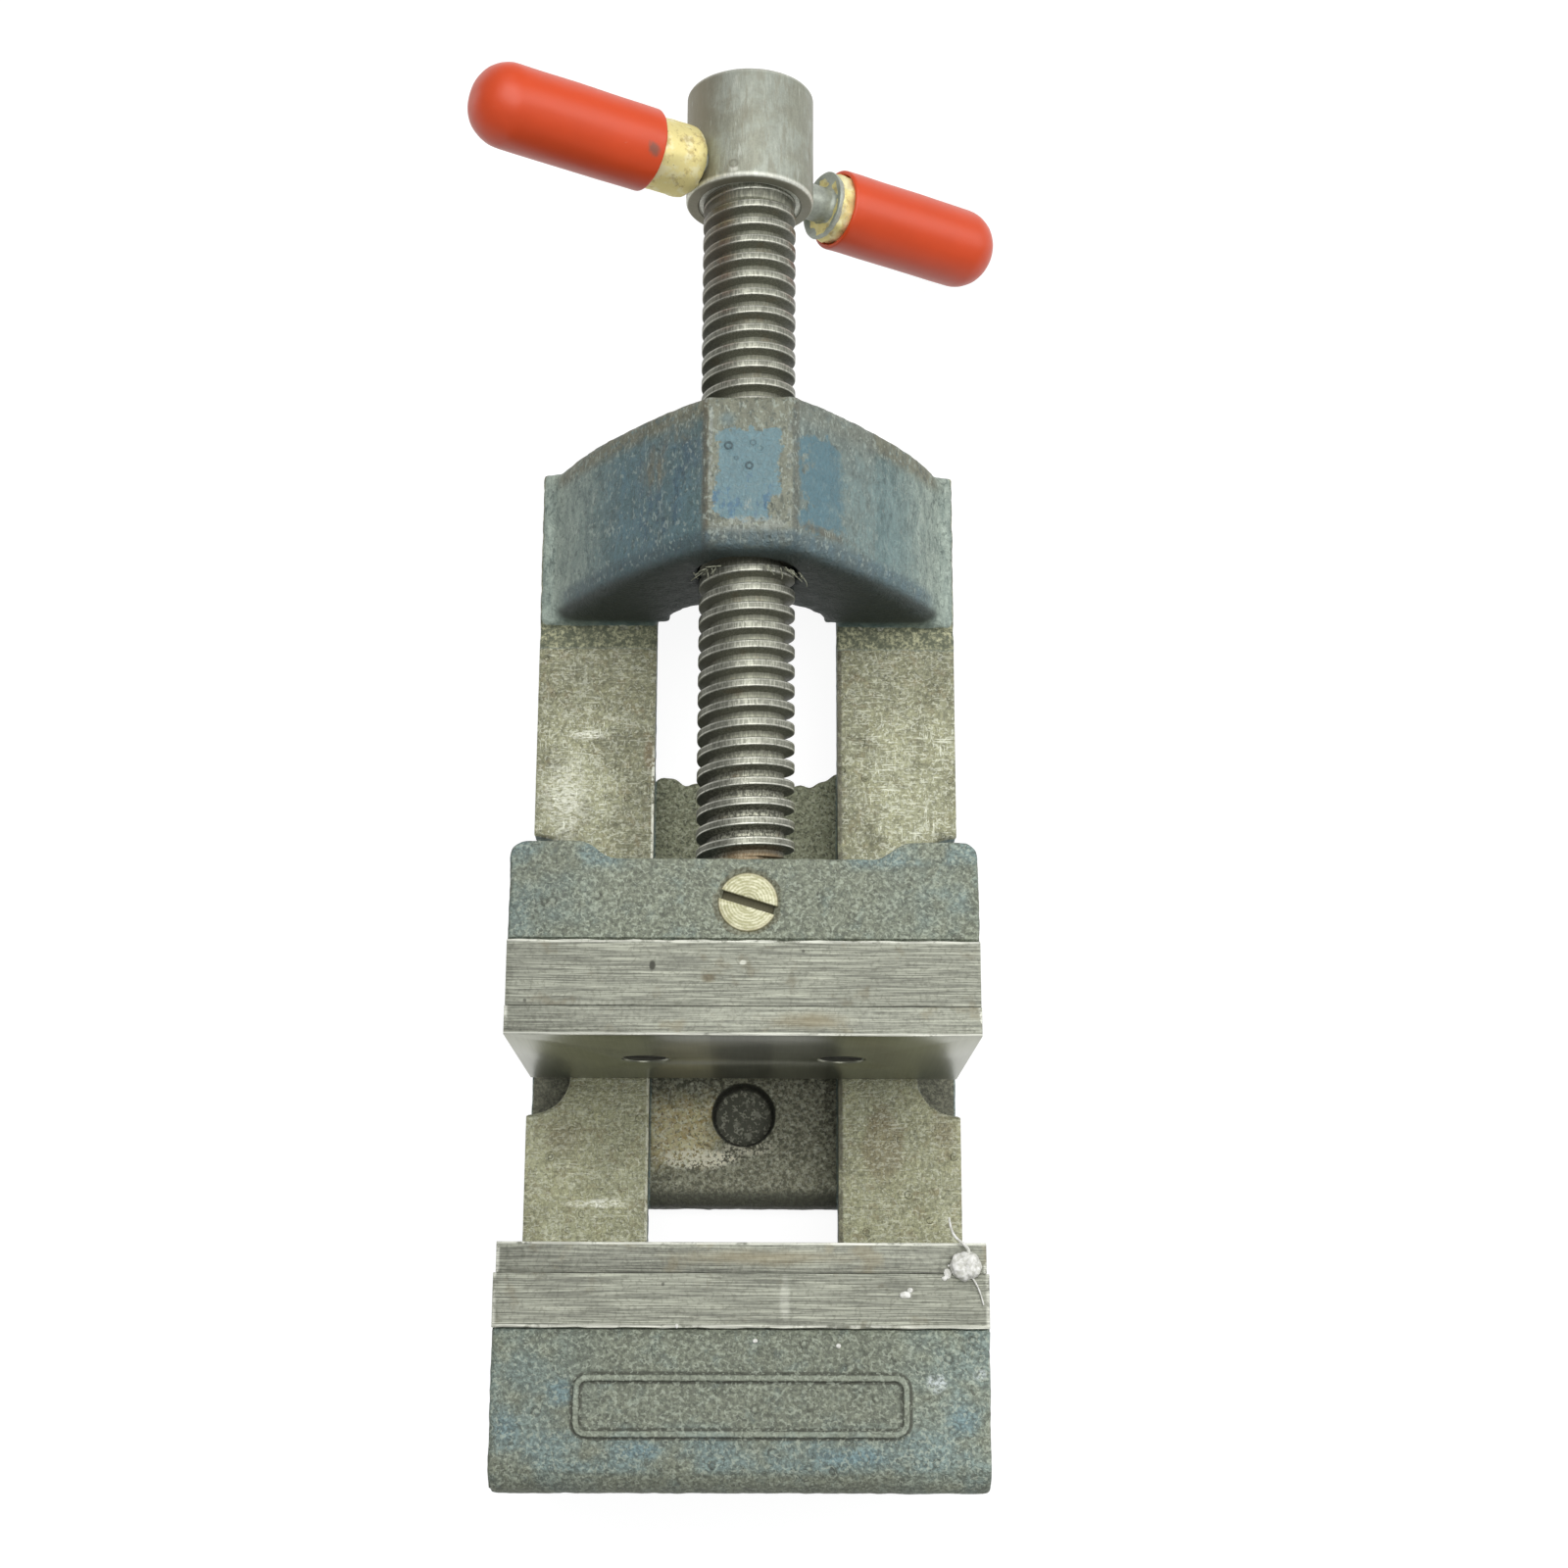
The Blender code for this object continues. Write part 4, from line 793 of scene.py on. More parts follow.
def pad_finish(settings):
    """Machined iron with lines that run across the vise, stained in places."""
    m = Maker("machined_pad", metallic=0.55)
    hair = m.noise(0.15, 2.0, 0.6, (42.0, 1.0, 1.0)).rise(0.38, 0.62)
    lines = m.noise(0.24, 2.0, 0.6, (60.0, 1.0, 1.0), seed=5.0).rise(0.42, 0.62)
    grain = m.noise(0.6, 3.0, 0.65)
    curls = m.curls(0.8, 0.10, seed=11.0)
    ragged = m.noise(2.6, 4.0, 0.7, seed=4.0)
    patches = m.noise(8.0, 3.0, 0.6)
    tone = 0.52 + hair * 0.46 + lines * 0.40 + (grain - 0.5) * 0.5 + (patches - 0.5) * 0.3
    base = m.tint(settings.pad, tone)
    rust = (m.noise(4.5, 3.0, 0.7, seed=8.0).rise(0.58, 0.72) * 0.35).or_more(
        m.spot(-4.6, -10.8, 1.2, 0.9, ragged, 0.7) * 0.7)
    base = m.mix(base, (0.20, 0.165, 0.10), rust)
    base = m.mix(base, (0.10, 0.10, 0.075), curls * 0.30)
    nicks = m.spots(ragged, (-12.0, -9.1, 0.5, 0.8, 0.5, 1.0), (-6.9, -2.6, 0.6, 0.5, 0.5, 1.0))
    nicks = nicks.or_more(m.cells(4.2, seed=2.0).rise(0.07, 0.035) * 0.7)
    base = m.mix(base, (0.07, 0.07, 0.055), nicks)
    rubbed = m.y.rise(-6.25, -5.95).or_more(m.y.rise(-55.0, -55.35)) * ragged.rise(0.38, 0.5)
    rubbed = strongest(rubbed, abs(m.x).rise(30.9, 31.3) * ragged.rise(0.42, 0.55),
                       m.spot(-0.1, -8.7, 0.6, 0.4, grain, 0.5),
                       m.spot(5.5, -52.0, 0.9, 3.4, ragged, 0.6) * 0.45)
    base = m.mix(base, (0.74, 0.75, 0.66), rubbed * (0.45 + hair * 0.4))
    m.set("Base Color", base)
    m.set("Roughness", 0.44 + grain * 0.16 + rust * 0.2)
    m.bump(hair * 0.5 + lines * 0.5 - nicks, 0.05, 0.7)
    return m.material


def plate_finish(settings):
    """Hardened ground steel: lined on top, almost a mirror on its gripping face, with painted dark
    reflections there and painted shade in its screw sockets.
    """
    m = Maker("ground_plate")
    hair = m.noise(0.15, 2.0, 0.6, (42.0, 1.0, 1.0), seed=3.0).rise(0.36, 0.64)
    rise = m.noise(0.3, 2.0, 0.6, (1.0, 1.0, 40.0), seed=7.0)
    grain = m.noise(0.6, 3.0, 0.65)
    ragged = m.noise(2.6, 4.0, 0.7, seed=4.0)
    top = m.z.rise(55.55, 55.8)
    lines = m.noise(0.24, 2.0, 0.6, (60.0, 1.0, 1.0), seed=6.0).rise(0.42, 0.62)
    tone = 0.53 + hair * 0.44 + lines * 0.34 + (grain - 0.5) * 0.7 - m.y.rise(-30.0, -40.0) * 0.10
    lined = m.tint(settings.pad, tone)
    lined = m.mix(lined, (0.10, 0.10, 0.075), m.curls(0.8, 0.10, seed=13.0) * 0.30)
    rust = (m.noise(5.0, 3.0, 0.65, seed=8.0).rise(0.54, 0.7) * 0.4).or_more(m.spots(
        ragged, (3.0, -46.8, 16.0, 1.4, 0.9, 0.55), (8.5, -16.4, 7.5, 1.6, 0.9, 0.6)))
    lined = m.mix(lined, (0.22, 0.185, 0.105), rust)
    rubbed = abs(m.y + 44.95).rise(0.3, 0.12).or_more(abs(m.y + 18.2).rise(0.28, 0.1))
    rubbed = (rubbed * ragged.rise(0.3, 0.45)).or_more(
        abs(m.x).rise(30.6, 31.0) * ragged.rise(0.45, 0.55))
    lined = m.mix(lined, (0.76, 0.77, 0.68), rubbed * (0.5 + hair * 0.4))
    # Painted reflection: darker bands down the middle of the gripping face
    painted_dark_reflection = abs(m.x + 0.3).rise(14.0, 12.5) * 0.20 + abs(m.x + 0.3).rise(4.6, 3.8) * 0.16
    mirror = m.tint(settings.plate, 0.86 + (rise - 0.5) * 0.3 + (grain - 0.5) * 0.12 - painted_dark_reflection)
    # Painted shade in the screw sockets: near black round each plate screw
    socket = hypot(abs(m.x) - SOCKET_X, m.z - AXIS_Z / MM).rise(3.2, 2.5)
    mirror = m.mix(mirror, (0.02, 0.02, 0.015), socket)
    m.set("Base Color", m.mix(mirror, lined, top))
    m.set("Metallic", 1.0 - top * 0.45 - socket * 0.9)
    m.set("Roughness", 0.29 + top * 0.16 + grain * 0.06 + socket * 0.4)
    m.bump(hair * top * 0.6 + rise * 0.1, 0.03, 0.6)
    return m.material


def screw_finish(settings):
    """Turned steel with oily, grainy grooves between rubbed crests, and painted shade under each
    crest and down both sides.
    """
    m = Maker("thread_steel")
    crest = hypot(m.x, m.z - AXIS_Z / MM).rise(6.72, 6.95)
    phase = m.phase(settings.pitch / MM)
    near = m.y.rise(34.0, 12.0)
    grain = m.noise(0.42, 3.0, 0.7)
    ticks = m.noise(0.24, 2.0, 0.6, (1.0, 6.0, 1.0), seed=3.0)
    patches = m.noise(9.0, 2.0, seed=2.0)
    rings = m.noise(0.12, 2.0, 0.6, (40.0, 1.0, 40.0))
    clean = m.tint(settings.groove, 0.80 + ticks.rise(0.4, 0.65) * 0.5 + (patches - 0.5) * 0.5)
    grainy = m.mix(settings.grime_and_shade, (0.70, 0.70, 0.56),
                   grain.rise(0.46, 0.58) * 0.7 + ticks.rise(0.52, 0.60) * 0.4)
    groove = m.mix(clean, grainy, near * 0.75 + (patches - 0.5) * 0.4)
    rust = m.spot(1.5, 9.0, 7.0, 2.6, patches, 0.6).or_more(
        m.noise(3.0, 3.0, 0.6, seed=5.0).rise(0.58, 0.7) * 0.4)
    groove = m.mix(groove, (0.26, 0.17, 0.08), rust * 0.7)
    # Painted shade in the groove just in front of each crest
    shade = phase.rise(0.04, 0.20) * phase.rise(0.50, 0.45)
    groove = m.mix(groove, settings.grime_and_shade, shade * (0.48 + near * 0.1))
    bright = m.tint(settings.steel, 0.66 + rings * 0.2 + (patches - 0.5) * 0.3
                    + (ticks.rise(0.42, 0.62) - 0.4) * (0.5 - near * 0.2))
    edges = abs(phase - 0.51).rise(0.05, 0.015).or_more(abs(phase - 0.805).rise(0.05, 0.015) * 0.8)
    bright = m.mix(bright, (0.13, 0.13, 0.10), (near * 0.5 + 0.3) * grain.rise(0.52, 0.64))
    bright = m.mix(bright, (0.84, 0.84, 0.74), edges * grain.rise(0.34, 0.50) * (0.5 + near * 0.4))
    base = m.mix(groove, bright, crest)
    stain = m.x.rise(-1.5, -4.0) * m.y.rise(88.0, 102.0) * ticks.rise(0.35, 0.55)
    base = m.mix(base, (0.19, 0.14, 0.095), stain * 0.6)
    # Painted shade down both sides of the screw, standing in for dark reflections there
    sides = (m.x.rise(-2.5, -6.6) * 0.5).or_more(m.x.rise(3.5, 6.8) * 0.3)
    m.set("Base Color", m.mix(base, settings.grime_and_shade, sides * (1.1 - edges * crest * 0.7)))
    m.set("Metallic", 0.55 + crest * 0.25)
    m.set("Roughness", 0.52 - crest * 0.10 + (grain - 0.5) * 0.2)
    m.bump(rings * 0.4 + grain * (1 - crest) * 0.8, 0.05, 0.7)
    return m.material


def hub_finish(settings):
    """Turned steel gone dull, streaked along its length, with rubbed rims partly painted as
    highlights, painted shade on its front face and round a small dimple, and a painted dark
    reflection down its left side.
    """
    m = Maker("hub_steel", metallic=0.6)
    streaks = m.noise(1.4, 4.0, 0.65, (1.0, 5.0, 1.0), seed=3.0)
    marks = m.noise(0.45, 3.0, 0.65, (1.0, 5.0, 1.0), seed=6.0).rise(0.38, 0.66)
    fine = m.noise(0.4, 3.0, 0.65)
    patches = m.noise(6.0, 3.0, 0.6, seed=4.0)
    base = m.tint(m.mix(settings.hub, (0.47, 0.50, 0.43), patches.rise(0.42, 0.62)),
                  0.80 + marks * 0.12 + (fine - 0.5) * 0.3)
    stain = (streaks + (patches - 0.5) * 0.4).rise(0.53, 0.68) * 0.6
    # Brown stains, and a painted dark reflection down the hub's left side
    base = m.mix(base, (0.26, 0.235, 0.165), (stain * 0.6).or_more(m.x.rise(-4.0, -7.5) * 0.8))
    base = m.mix(base, (0.60, 0.63, 0.56), streaks.rise(0.40, 0.32) * 0.4)
    # Bright bands at both rims, rubbed steel partly painted as highlights, and a painted highlight
    # beside the dimple
    rubbed = strongest(m.y.rise(112.7, 112.1) * m.y.rise(111.7, 111.9),
                       m.y.rise(128.9, 129.5) * 0.6,
                       m.spot(-2.4, 113.0, 0.9, 0.7, fine, 0.7) * 0.7)
    base = m.mix(base, (0.88, 0.89, 0.80), rubbed * (0.6 + marks * 0.3))
    # Painted shade on the hub's front face
    face = m.y.rise(111.85, 111.7)
    base = m.mix(base, (0.24, 0.225, 0.165), face * 0.75)
    # Dark ring painted as the shade of a small dimple
    base = m.mix(base, (0.16, 0.15, 0.11), m.ring(-2.4, 113.9, 0.55, 0.25) * 0.5)
    m.set("Base Color", base)
    m.set("Roughness", 0.50 + patches * 0.1 + stain * 0.1)
    m.bump(marks * 0.5 + fine * 0.4, 0.05, 0.7)
    return m.material


def vinyl_finish(settings):
    """Glossy dipped vinyl with faint scuffs."""
    m = Maker("red_vinyl", coat_weight=0.28, coat_roughness=0.36)
    soft = m.noise(6.0, 2.0)
    fine = m.noise(0.8, 3.0, 0.6)
    scuff = m.noise(0.9, 3.0, 0.7, (3.0, 1.0, 1.0), seed=4.0).rise(0.68, 0.8)
    base = m.tint(settings.vinyl, 0.92 + soft * 0.16)
    base = m.mix(base, (0.62, 0.30, 0.24), scuff * 0.35)
    base = m.mix(base, (0.20, 0.10, 0.07), m.spot(-13.9, 112.9, 1.2, 1.2, fine, 0.7) * 0.8)
    base = m.mix(base, (0.55, 0.40, 0.33), m.spot(-25.6, 121.6, 1.8, 0.7, fine, 0.7) * 0.7)
    m.set("Base Color", base)
    m.set("Roughness", 0.40 + fine * 0.1 + scuff * 0.2)
    m.bump(soft * 0.6 + fine * 0.1, 0.12, 0.5)
    return m.material


def brass_finish(settings):
    """Old brass, pale where it is rubbed and brown in its creases."""
    m = Maker("worn_brass", metallic=0.6)
    grain = m.noise(0.7, 3.0, 0.65)
    patches = m.noise(2.4, 3.0, 0.65)
    creases = m.noise(2.6, 4.0, 0.7, seed=1.0)
    base = m.mix(settings.brass, (0.95, 0.90, 0.60), patches.rise(0.5, 0.62) * 0.7)
    base = m.mix(base, (0.50, 0.37, 0.14), creases.rise(0.52, 0.66) * 0.6)
    base = m.mix(base, (0.20, 0.15, 0.07), grain.rise(0.64, 0.74) * 0.6)
    m.set("Base Color", base)
    m.set("Roughness", 0.56 + grain * 0.2)
    m.bump(grain * 0.6 + patches * 0.5 - creases * 0.3, 0.12, 0.7)
    return m.material


def retainer_finish(settings):
    """Brass screw head turned in rings, darker down in its slot."""
    m = Maker("brass_screw", metallic=0.45)
    radius = hypot(m.x - RETAINER[0], m.y - RETAINER[1])
    grain = m.noise(0.5, 3.0, 0.65)
    rings = (radius + grain * 0.12) * 15.0
    rings = rings.math("SINE", rings, 0.0)
    scuffs = m.noise(0.5, 3.0, 0.7, (3.0, 1.0, 1.0), seed=3.0).rise(0.42, 0.62)
    base = m.mix((0.38, 0.37, 0.21), (0.70, 0.69, 0.50),
                 (rings * 0.2 + grain.rise(0.3, 0.7) * 0.5 + scuffs * 0.4).rise(0.0, 1.0))
    # Darker down in the slot
    deep = m.z.rise(55.2, 54.9)
    base = m.mix(base, (0.17, 0.16, 0.10), deep)
    base = m.mix(base, (0.28, 0.24, 0.13), radius.rise(3.5, 4.0) * 0.6)
    m.set("Base Color", base)
    m.set("Roughness", 0.42 + grain * 0.2 + deep * 0.3)
    m.bump(rings * 0.25 + grain * 0.6, 0.05, 0.7)
    return m.material


def dull_finish(name, tone, metallic=0.9, roughness=0.5):
    """Dull dark steel with fine grain, for small screws and hidden pieces."""
    m = Maker(name, metallic=metallic)
    grain = m.noise(0.6, 3.0, 0.6)
    m.set("Base Color", m.mix([0.55 * part for part in tone], [1.5 * part for part in tone], grain))
    m.set("Roughness", roughness + (grain - 0.5) * 0.3)
    m.bump(grain, 0.04, 0.6)
    return m.material


def lint_finish(name, low, high):
    m = Maker(name)
    grain = m.noise(0.5, 2.0)
    m.set("Base Color", m.mix(low, high, grain.rise(0.35, 0.65)))
    m.set("Roughness", 0.5 + grain * 0.2)
    m.bump(grain, 0.08, 0.6)
    return m.material


# Castings

def body_rough(co):
    """1 on rough cast faces of the body and 0 on its machined ones."""
    x, y, z = co.T
    rail = (z > 13.5 * MM) & (z < 14.6 * MM) & (abs(x) > RAIL_EDGE) & (y > FIXED_FACE)
    rail &= y < 47.4 * MM
    seat = (y > FIXED_FACE - 0.6 * MM) & (y < FIXED_FACE + 0.6 * MM) & (z > RAIL_TOP)
    under = z < 0.4 * MM
    side = (z < 10.4 * MM) & (abs(x) > 13.3 * MM) & (abs(x) < 17.2 * MM)
    return 1.0 - (rail | seat | under | side)


def soften_yoke(piece):
    """Rounds the low ends of the shoulders and rolls their front edge."""
    x, y, z = points(piece).T
    ends = smoothstep(abs(x), 24.0 * MM, 28.0 * MM) * smoothstep(z, 14.05 * MM, 14.6 * MM)
    modify(piece, "SMOOTH", factor=0.5, iterations=30, vertex_group=weigh(piece, "ends", ends))
    x, y, z = points(piece).T
    roll = smoothstep(y, 58.5 * MM, 55.5 * MM) * smoothstep(z, 15.0 * MM, 20.0 * MM)
    roll *= smoothstep(y, 50.0 * MM, 50.8 * MM)
    modify(piece, "SMOOTH", factor=0.5, iterations=45, vertex_group=weigh(piece, "roll", roll))
    co = points(piece)
    back = smoothstep(co[:, 1], 66.0 * MM, 74.0 * MM) * smoothstep(co[:, 2], 15.0 * MM, 20.0 * MM)
    co[:, 1] += back * (0.25 * MM + 0.3 * MM * smoothstep(co[:, 0], 0.0, 8.0 * MM))
    put_points(piece, co)


def cast_grain(piece, rough):
    """The lumps and the fine grain of rough cast faces."""
    settings = bpy.context.scene.vise_casting
    roughen(piece, 0.0021, settings.lump_depth, rough, noise_depth=1)
    roughen(piece, 0.0008, settings.grain_depth, rough, noise_depth=1)


def casting(name, mesh_size, near_y=None, far_y=None, rounds=4, soften=None):
    """A stretch of the body casting between two planes across it, remeshed and roughened."""
    piece = merged_copy("body_casting", name)
    ends = [(y, side) for y, side in ((near_y, -1.0), (far_y, 1.0)) if y is not None]
    for y, side in ends:
        cut(piece, (0.0, y + side * 3 * mesh_size, 0.0), (0.0, side, 0.0))
    modify(piece, "REMESH", mode="VOXEL", voxel_size=mesh_size)
    rough = weigh(piece, "rough", body_rough(points(piece)))
    modify(piece, "SMOOTH", factor=0.5, iterations=rounds, vertex_group=rough)
    if soften:
        soften(piece)
    cast_grain(piece, rough)
    for y, side in ends:
        cut(piece, (0.0, y, 0.0), (0.0, side, 0.0))
    return piece


def wear_web(piece):
    """Leaves the rear edge of the web ragged, as it came from the mould."""
    co = points(piece)
    x, y, z = co.T
    share = smoothstep(y, 26.0 * MM, 29.0 * MM) * (abs(x) < 14.2 * MM) * (z < 7.0 * MM)
    wave = -0.5 * MM + 0.35 * MM * np.sin(x / MM * 0.9) + 0.2 * MM * np.sin(x / MM * 2.3 + 1.0)
    wave += 1.3 * MM * smoothstep(x, 10.0 * MM, 13.5 * MM)
    wave -= 0.8 * MM * np.exp(-((x - 8.8 * MM) / (2.0 * MM)) ** 2)
    wave += 0.5 * MM * np.exp(-((x + 12.2 * MM) / (1.3 * MM)) ** 2)
    co[:, 1] += share * wave
    put_points(piece, co)


def sink_pad(piece, low_y, high_y, top):
    """Lowers the cast top where a machined pad is laid over it."""
    co = points(piece)
    inside = (co[:, 1] > low_y) & (co[:, 1] < high_y) & (co[:, 2] > top - 1.0 * MM)
    co[inside, 2] -= 0.9 * MM
    put_points(piece, co)


def raise_bubbles(piece):
    """Small round blisters in the paint of the yoke."""
    co = points(piece)
    for x, y, _, _, _, radius, height in BUBBLES:
        away = np.hypot(co[:, 0] - x * MM, co[:, 1] - y * MM) / (radius * MM)
        ring = np.exp(-((away - 0.75) / 0.3) ** 2) * (co[:, 2] > 30.0 * MM)
        co[:, 2] += ring * height * MM
    put_points(piece, co)


class VISE_OT_castings(bpy.types.Operator):
    """Model the rails, the yoke and the fixed jaw"""
    bl_idname = "vise.castings"
    bl_label = "Castings"

    def execute(self, context):
        settings = context.scene.vise_casting
        finish = cast_finish(settings)
        rails = casting("rails_and_web", settings.rails_mesh_size, FIXED_FACE, YOKE_CUT, 2)
        wear_web(rails)
        yoke = casting("yoke", settings.yoke_mesh_size, YOKE_CUT, None, 6, soften_yoke)
        raise_bubbles(yoke)
        jaw = casting("fixed_jaw", settings.mesh_size, None, FIXED_FACE, 4)
        sink_pad(jaw, FIXED_PAD_EDGE - 0.2 * MM, FIXED_FACE + MM, BODY[1].z)
        for piece in (rails, yoke, jaw):
            smooth_shade(piece, 60.0)
            dress(piece, "base", "cast_iron", finish, "body_casting")
        return {"FINISHED"}


def machined_pad(name, low, high, wavy_side):
    """A crisp machined pad whose cast-side edge wanders a little."""
    size = high - low
    deselect()
    bpy.ops.mesh.primitive_cube_add(size=1.0, location=(low + high) / 2)
    piece = added(name)
    piece.scale = size
    settle(piece)
    with Editing(piece):
        bpy.ops.mesh.subdivide(number_cuts=40)
    co = points(piece)
    edge = low.y if wavy_side < 0 else high.y
    share = smoothstep(abs(co[:, 1] - edge), 0.4 * size.y, 0.0)
    wave = np.sin(co[:, 0] / MM * 0.8) + np.sin(co[:, 0] / MM * 2.1 + 0.5) * 0.6
    co[:, 1] += share * wave * 0.05 * MM
    put_points(piece, co)
    bevel = bpy.context.scene.vise_jaws.pad_bevel
    modify(piece, "BEVEL", width=bevel, segments=2, limit_method="ANGLE", angle_limit=0.8)
    return smooth_shade(piece, 35.0)


class VISE_OT_pads(bpy.types.Operator):
    """Model the machined pads behind the jaw plates"""
    bl_idname = "vise.pads"
    bl_label = "Machined pads"

    def execute(self, context):
        finish = pad_finish(context.scene.vise_jaws)
        top = BODY[1].z
        half = 31.52 * MM
        fixed = machined_pad("fixed_jaw_pad", Vector((-half, FIXED_PAD_EDGE, top - 3 * MM)),
                             Vector((half, FIXED_FACE + 0.02 * MM, top)), -1)
        dress(fixed, "base", "cast_iron", finish)
        half = JAW[1].x + 0.02 * MM
        moving = machined_pad("sliding_jaw_pad", Vector((-half, JAW_FACE, top - 3 * MM)),
                              Vector((half, JAW_PAD_EDGE, top)), 1)
        dress(moving, "slide_jaw", "cast_iron", finish)
        return {"FINISHED"}


class VISE_OT_panel_rim(bpy.types.Operator):
    """Model the raised rim of the blank panel on the fixed jaw"""
    bl_idname = "vise.panel_rim"
    bl_label = "Blank panel rim"

    def execute(self, context):
        deselect()
        bpy.ops.mesh.primitive_plane_add(size=1.0, location=(*RIM_CENTRE, RIM_TOP - 0.5 * MM))
        rim = added("blank_panel_rim")
        rim.scale = (RIM_LENGTH, RIM_WIDTH, 1.0)
        settle(rim)
        with Editing(rim):
            bpy.ops.mesh.bevel(offset=RIM_CORNER, segments=6, affect="VERTICES")
            bpy.ops.mesh.select_all(action="SELECT")
            bpy.ops.mesh.inset(thickness=RIM_BREADTH)
            bpy.ops.mesh.delete(type="FACE")
            bpy.ops.mesh.select_all(action="SELECT")
            bpy.ops.mesh.extrude_region_move(
                TRANSFORM_OT_translate={"value": (0.0, 0.0, 0.92 * MM)})
            bpy.ops.mesh.select_all(action="SELECT")
            bpy.ops.mesh.normals_make_consistent(inside=False)
        modify(rim, "BEVEL", width=0.2 * MM, segments=2, limit_method="ANGLE", angle_limit=0.8)
        modify(rim, "REMESH", mode="VOXEL", voxel_size=0.16 * MM)
        modify(rim, "SMOOTH", factor=0.5, iterations=3)
        roughen(rim, 0.0016, 0.00018)
        smooth_shade(rim, 60.0)
        dress(rim, "base", "cast_iron", bpy.data.materials["painted_casting"])
        return {"FINISHED"}


class VISE_OT_sliding_jaw(bpy.types.Operator):
    """Model the sliding jaw"""
    bl_idname = "vise.sliding_jaw"
    bl_label = "Sliding jaw"

    def execute(self, context):
        piece = merged_copy("moving_jaw", "sliding_jaw")
        modify(piece, "REMESH", mode="VOXEL", voxel_size=0.4 * MM)
        _, y, z = points(piece).T
        smooth_faces = (z < 14.8 * MM) | (y < JAW_FACE + 0.5 * MM)
        rough = weigh(piece, "rough", 1.0 - smooth_faces)
        modify(piece, "SMOOTH", factor=0.5, iterations=5, vertex_group=rough)
        cast_grain(piece, rough)
        sink_pad(piece, JAW_FACE - MM, JAW_PAD_EDGE + 0.2 * MM, JAW[1].z)
        smooth_shade(piece, 60.0)
        dress(piece, "slide_jaw", "cast_iron", bpy.data.materials["painted_casting"], "moving_jaw")
        return {"FINISHED"}


class VISE_OT_plates(bpy.types.Operator):
    """Model the two ground jaw plates"""
    bl_idname = "vise.plates"
    bl_label = "Jaw plates"

    def execute(self, context):
        settings = context.scene.vise_jaws
        finish = plate_finish(settings)
        for node, body, back, towards in (
                ("fixed_jaw_plate", "base", FIXED_PLATE[0].y, -1),
                ("moving_jaw_plate", "slide_jaw", MOVING_PLATE[1].y, 1)):
            piece = merged_copy(node, node + "_ground")
            co = points(piece)
            behind = abs(co[:, 1] - back) < 0.05 * MM
            co[behind, 1] += towards * 0.24 * MM
            put_points(piece, co)
            modify(piece, "BEVEL", width=settings.plate_bevel, segments=2,
                   limit_method="ANGLE", angle_limit=0.7)
            smooth_shade(piece, 35.0)
            dress(piece, body, "ground_steel", finish, node)
        return {"FINISHED"}


class VISE_OT_small_screws(bpy.types.Operator):
    """Finish the small screws and the keeper, whose shapes stay as the frame has them"""
    bl_idname = "vise.small_screws"
    bl_label = "Small screws and keeper"

    def execute(self, context):
        # The screws are near black, partly as painted shade in the plate sockets
        screw = dull_finish("dark_screw_and_socket_shade", (0.035, 0.035, 0.03), 0.2, 0.6)
        keeper = dull_finish("keeper_steel", (0.16, 0.16, 0.14))
        for holder in ("fixed_plate", "moving_plate", "keeper"):
            for number in (1, 2):
                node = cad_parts[f"{holder}_screw_{number}"]
                node.material_slots[0].material = screw
        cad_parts["keeper_plate"].material_slots[0].material = keeper
        return {"FINISHED"}


class VISE_OT_retaining_screw(bpy.types.Operator):
    """Model the slotted brass screw in the sliding jaw"""
    bl_idname = "vise.retaining_screw"
    bl_label = "Retaining screw"

    def execute(self, context):
        radius = 4.0 * MM
        profile = [(0.0, 0.0), (2.0 * MM, 0.0)]
        profile += arc((radius - 0.25 * MM, -0.25 * MM), 0.25 * MM, 90, 0, 4)
        profile += [(radius, -8.0 * MM), (2.0 * MM, -8.0 * MM), (2.0 * MM, -18.0 * MM),
                    (0.0, -18.0 * MM)]
        piece = turned("retaining_screw_head", profile, 72)
        deselect()
        bpy.ops.mesh.primitive_cube_add(size=1.0)
        slot = added("retaining_slot")
        slot.scale = (12.0 * MM, 1.2 * MM, 2.4 * MM)
        settle(slot)
        modify(piece, "BOOLEAN", operation="DIFFERENCE", solver="EXACT", object=slot)
        bpy.data.objects.remove(slot, do_unlink=True)
        modify(piece, "BEVEL", width=0.07 * MM, segments=2, limit_method="ANGLE", angle_limit=0.9)
        low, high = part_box("retaining_screw")
        place = Vector(((low.x + high.x) / 2, (low.y + high.y) / 2, high.z + 0.05 * MM))
        settle(piece, Matrix.Translation(place) @ Matrix.Rotation(math.radians(-17.0), 4, "Z"))
        smooth_shade(piece, 35.0)
        dress(piece, "slide_jaw", "brass", retainer_finish(context.scene.vise_handle),
              "retaining_screw")
        profile = [(3.6 * MM, -0.5 * MM), (4.0 * MM, 0.0), (4.7 * MM, 0.12 * MM),
                   (4.7 * MM, -0.5 * MM)]
        dirt = turned("packed_dirt", profile, 72, closed=True)
        settle(dirt, Matrix.Translation((place.x, place.y, high.z - 0.12 * MM)))
        roughen(dirt, 0.0009, 0.0002)
        smooth_shade(dirt, 60.0)
        dress(dirt, "slide_jaw", "brass", lint_finish("packed_dirt", (0.10, 0.10, 0.06),
                                                      (0.25, 0.26, 0.19)))
        return {"FINISHED"}


# Lead screw

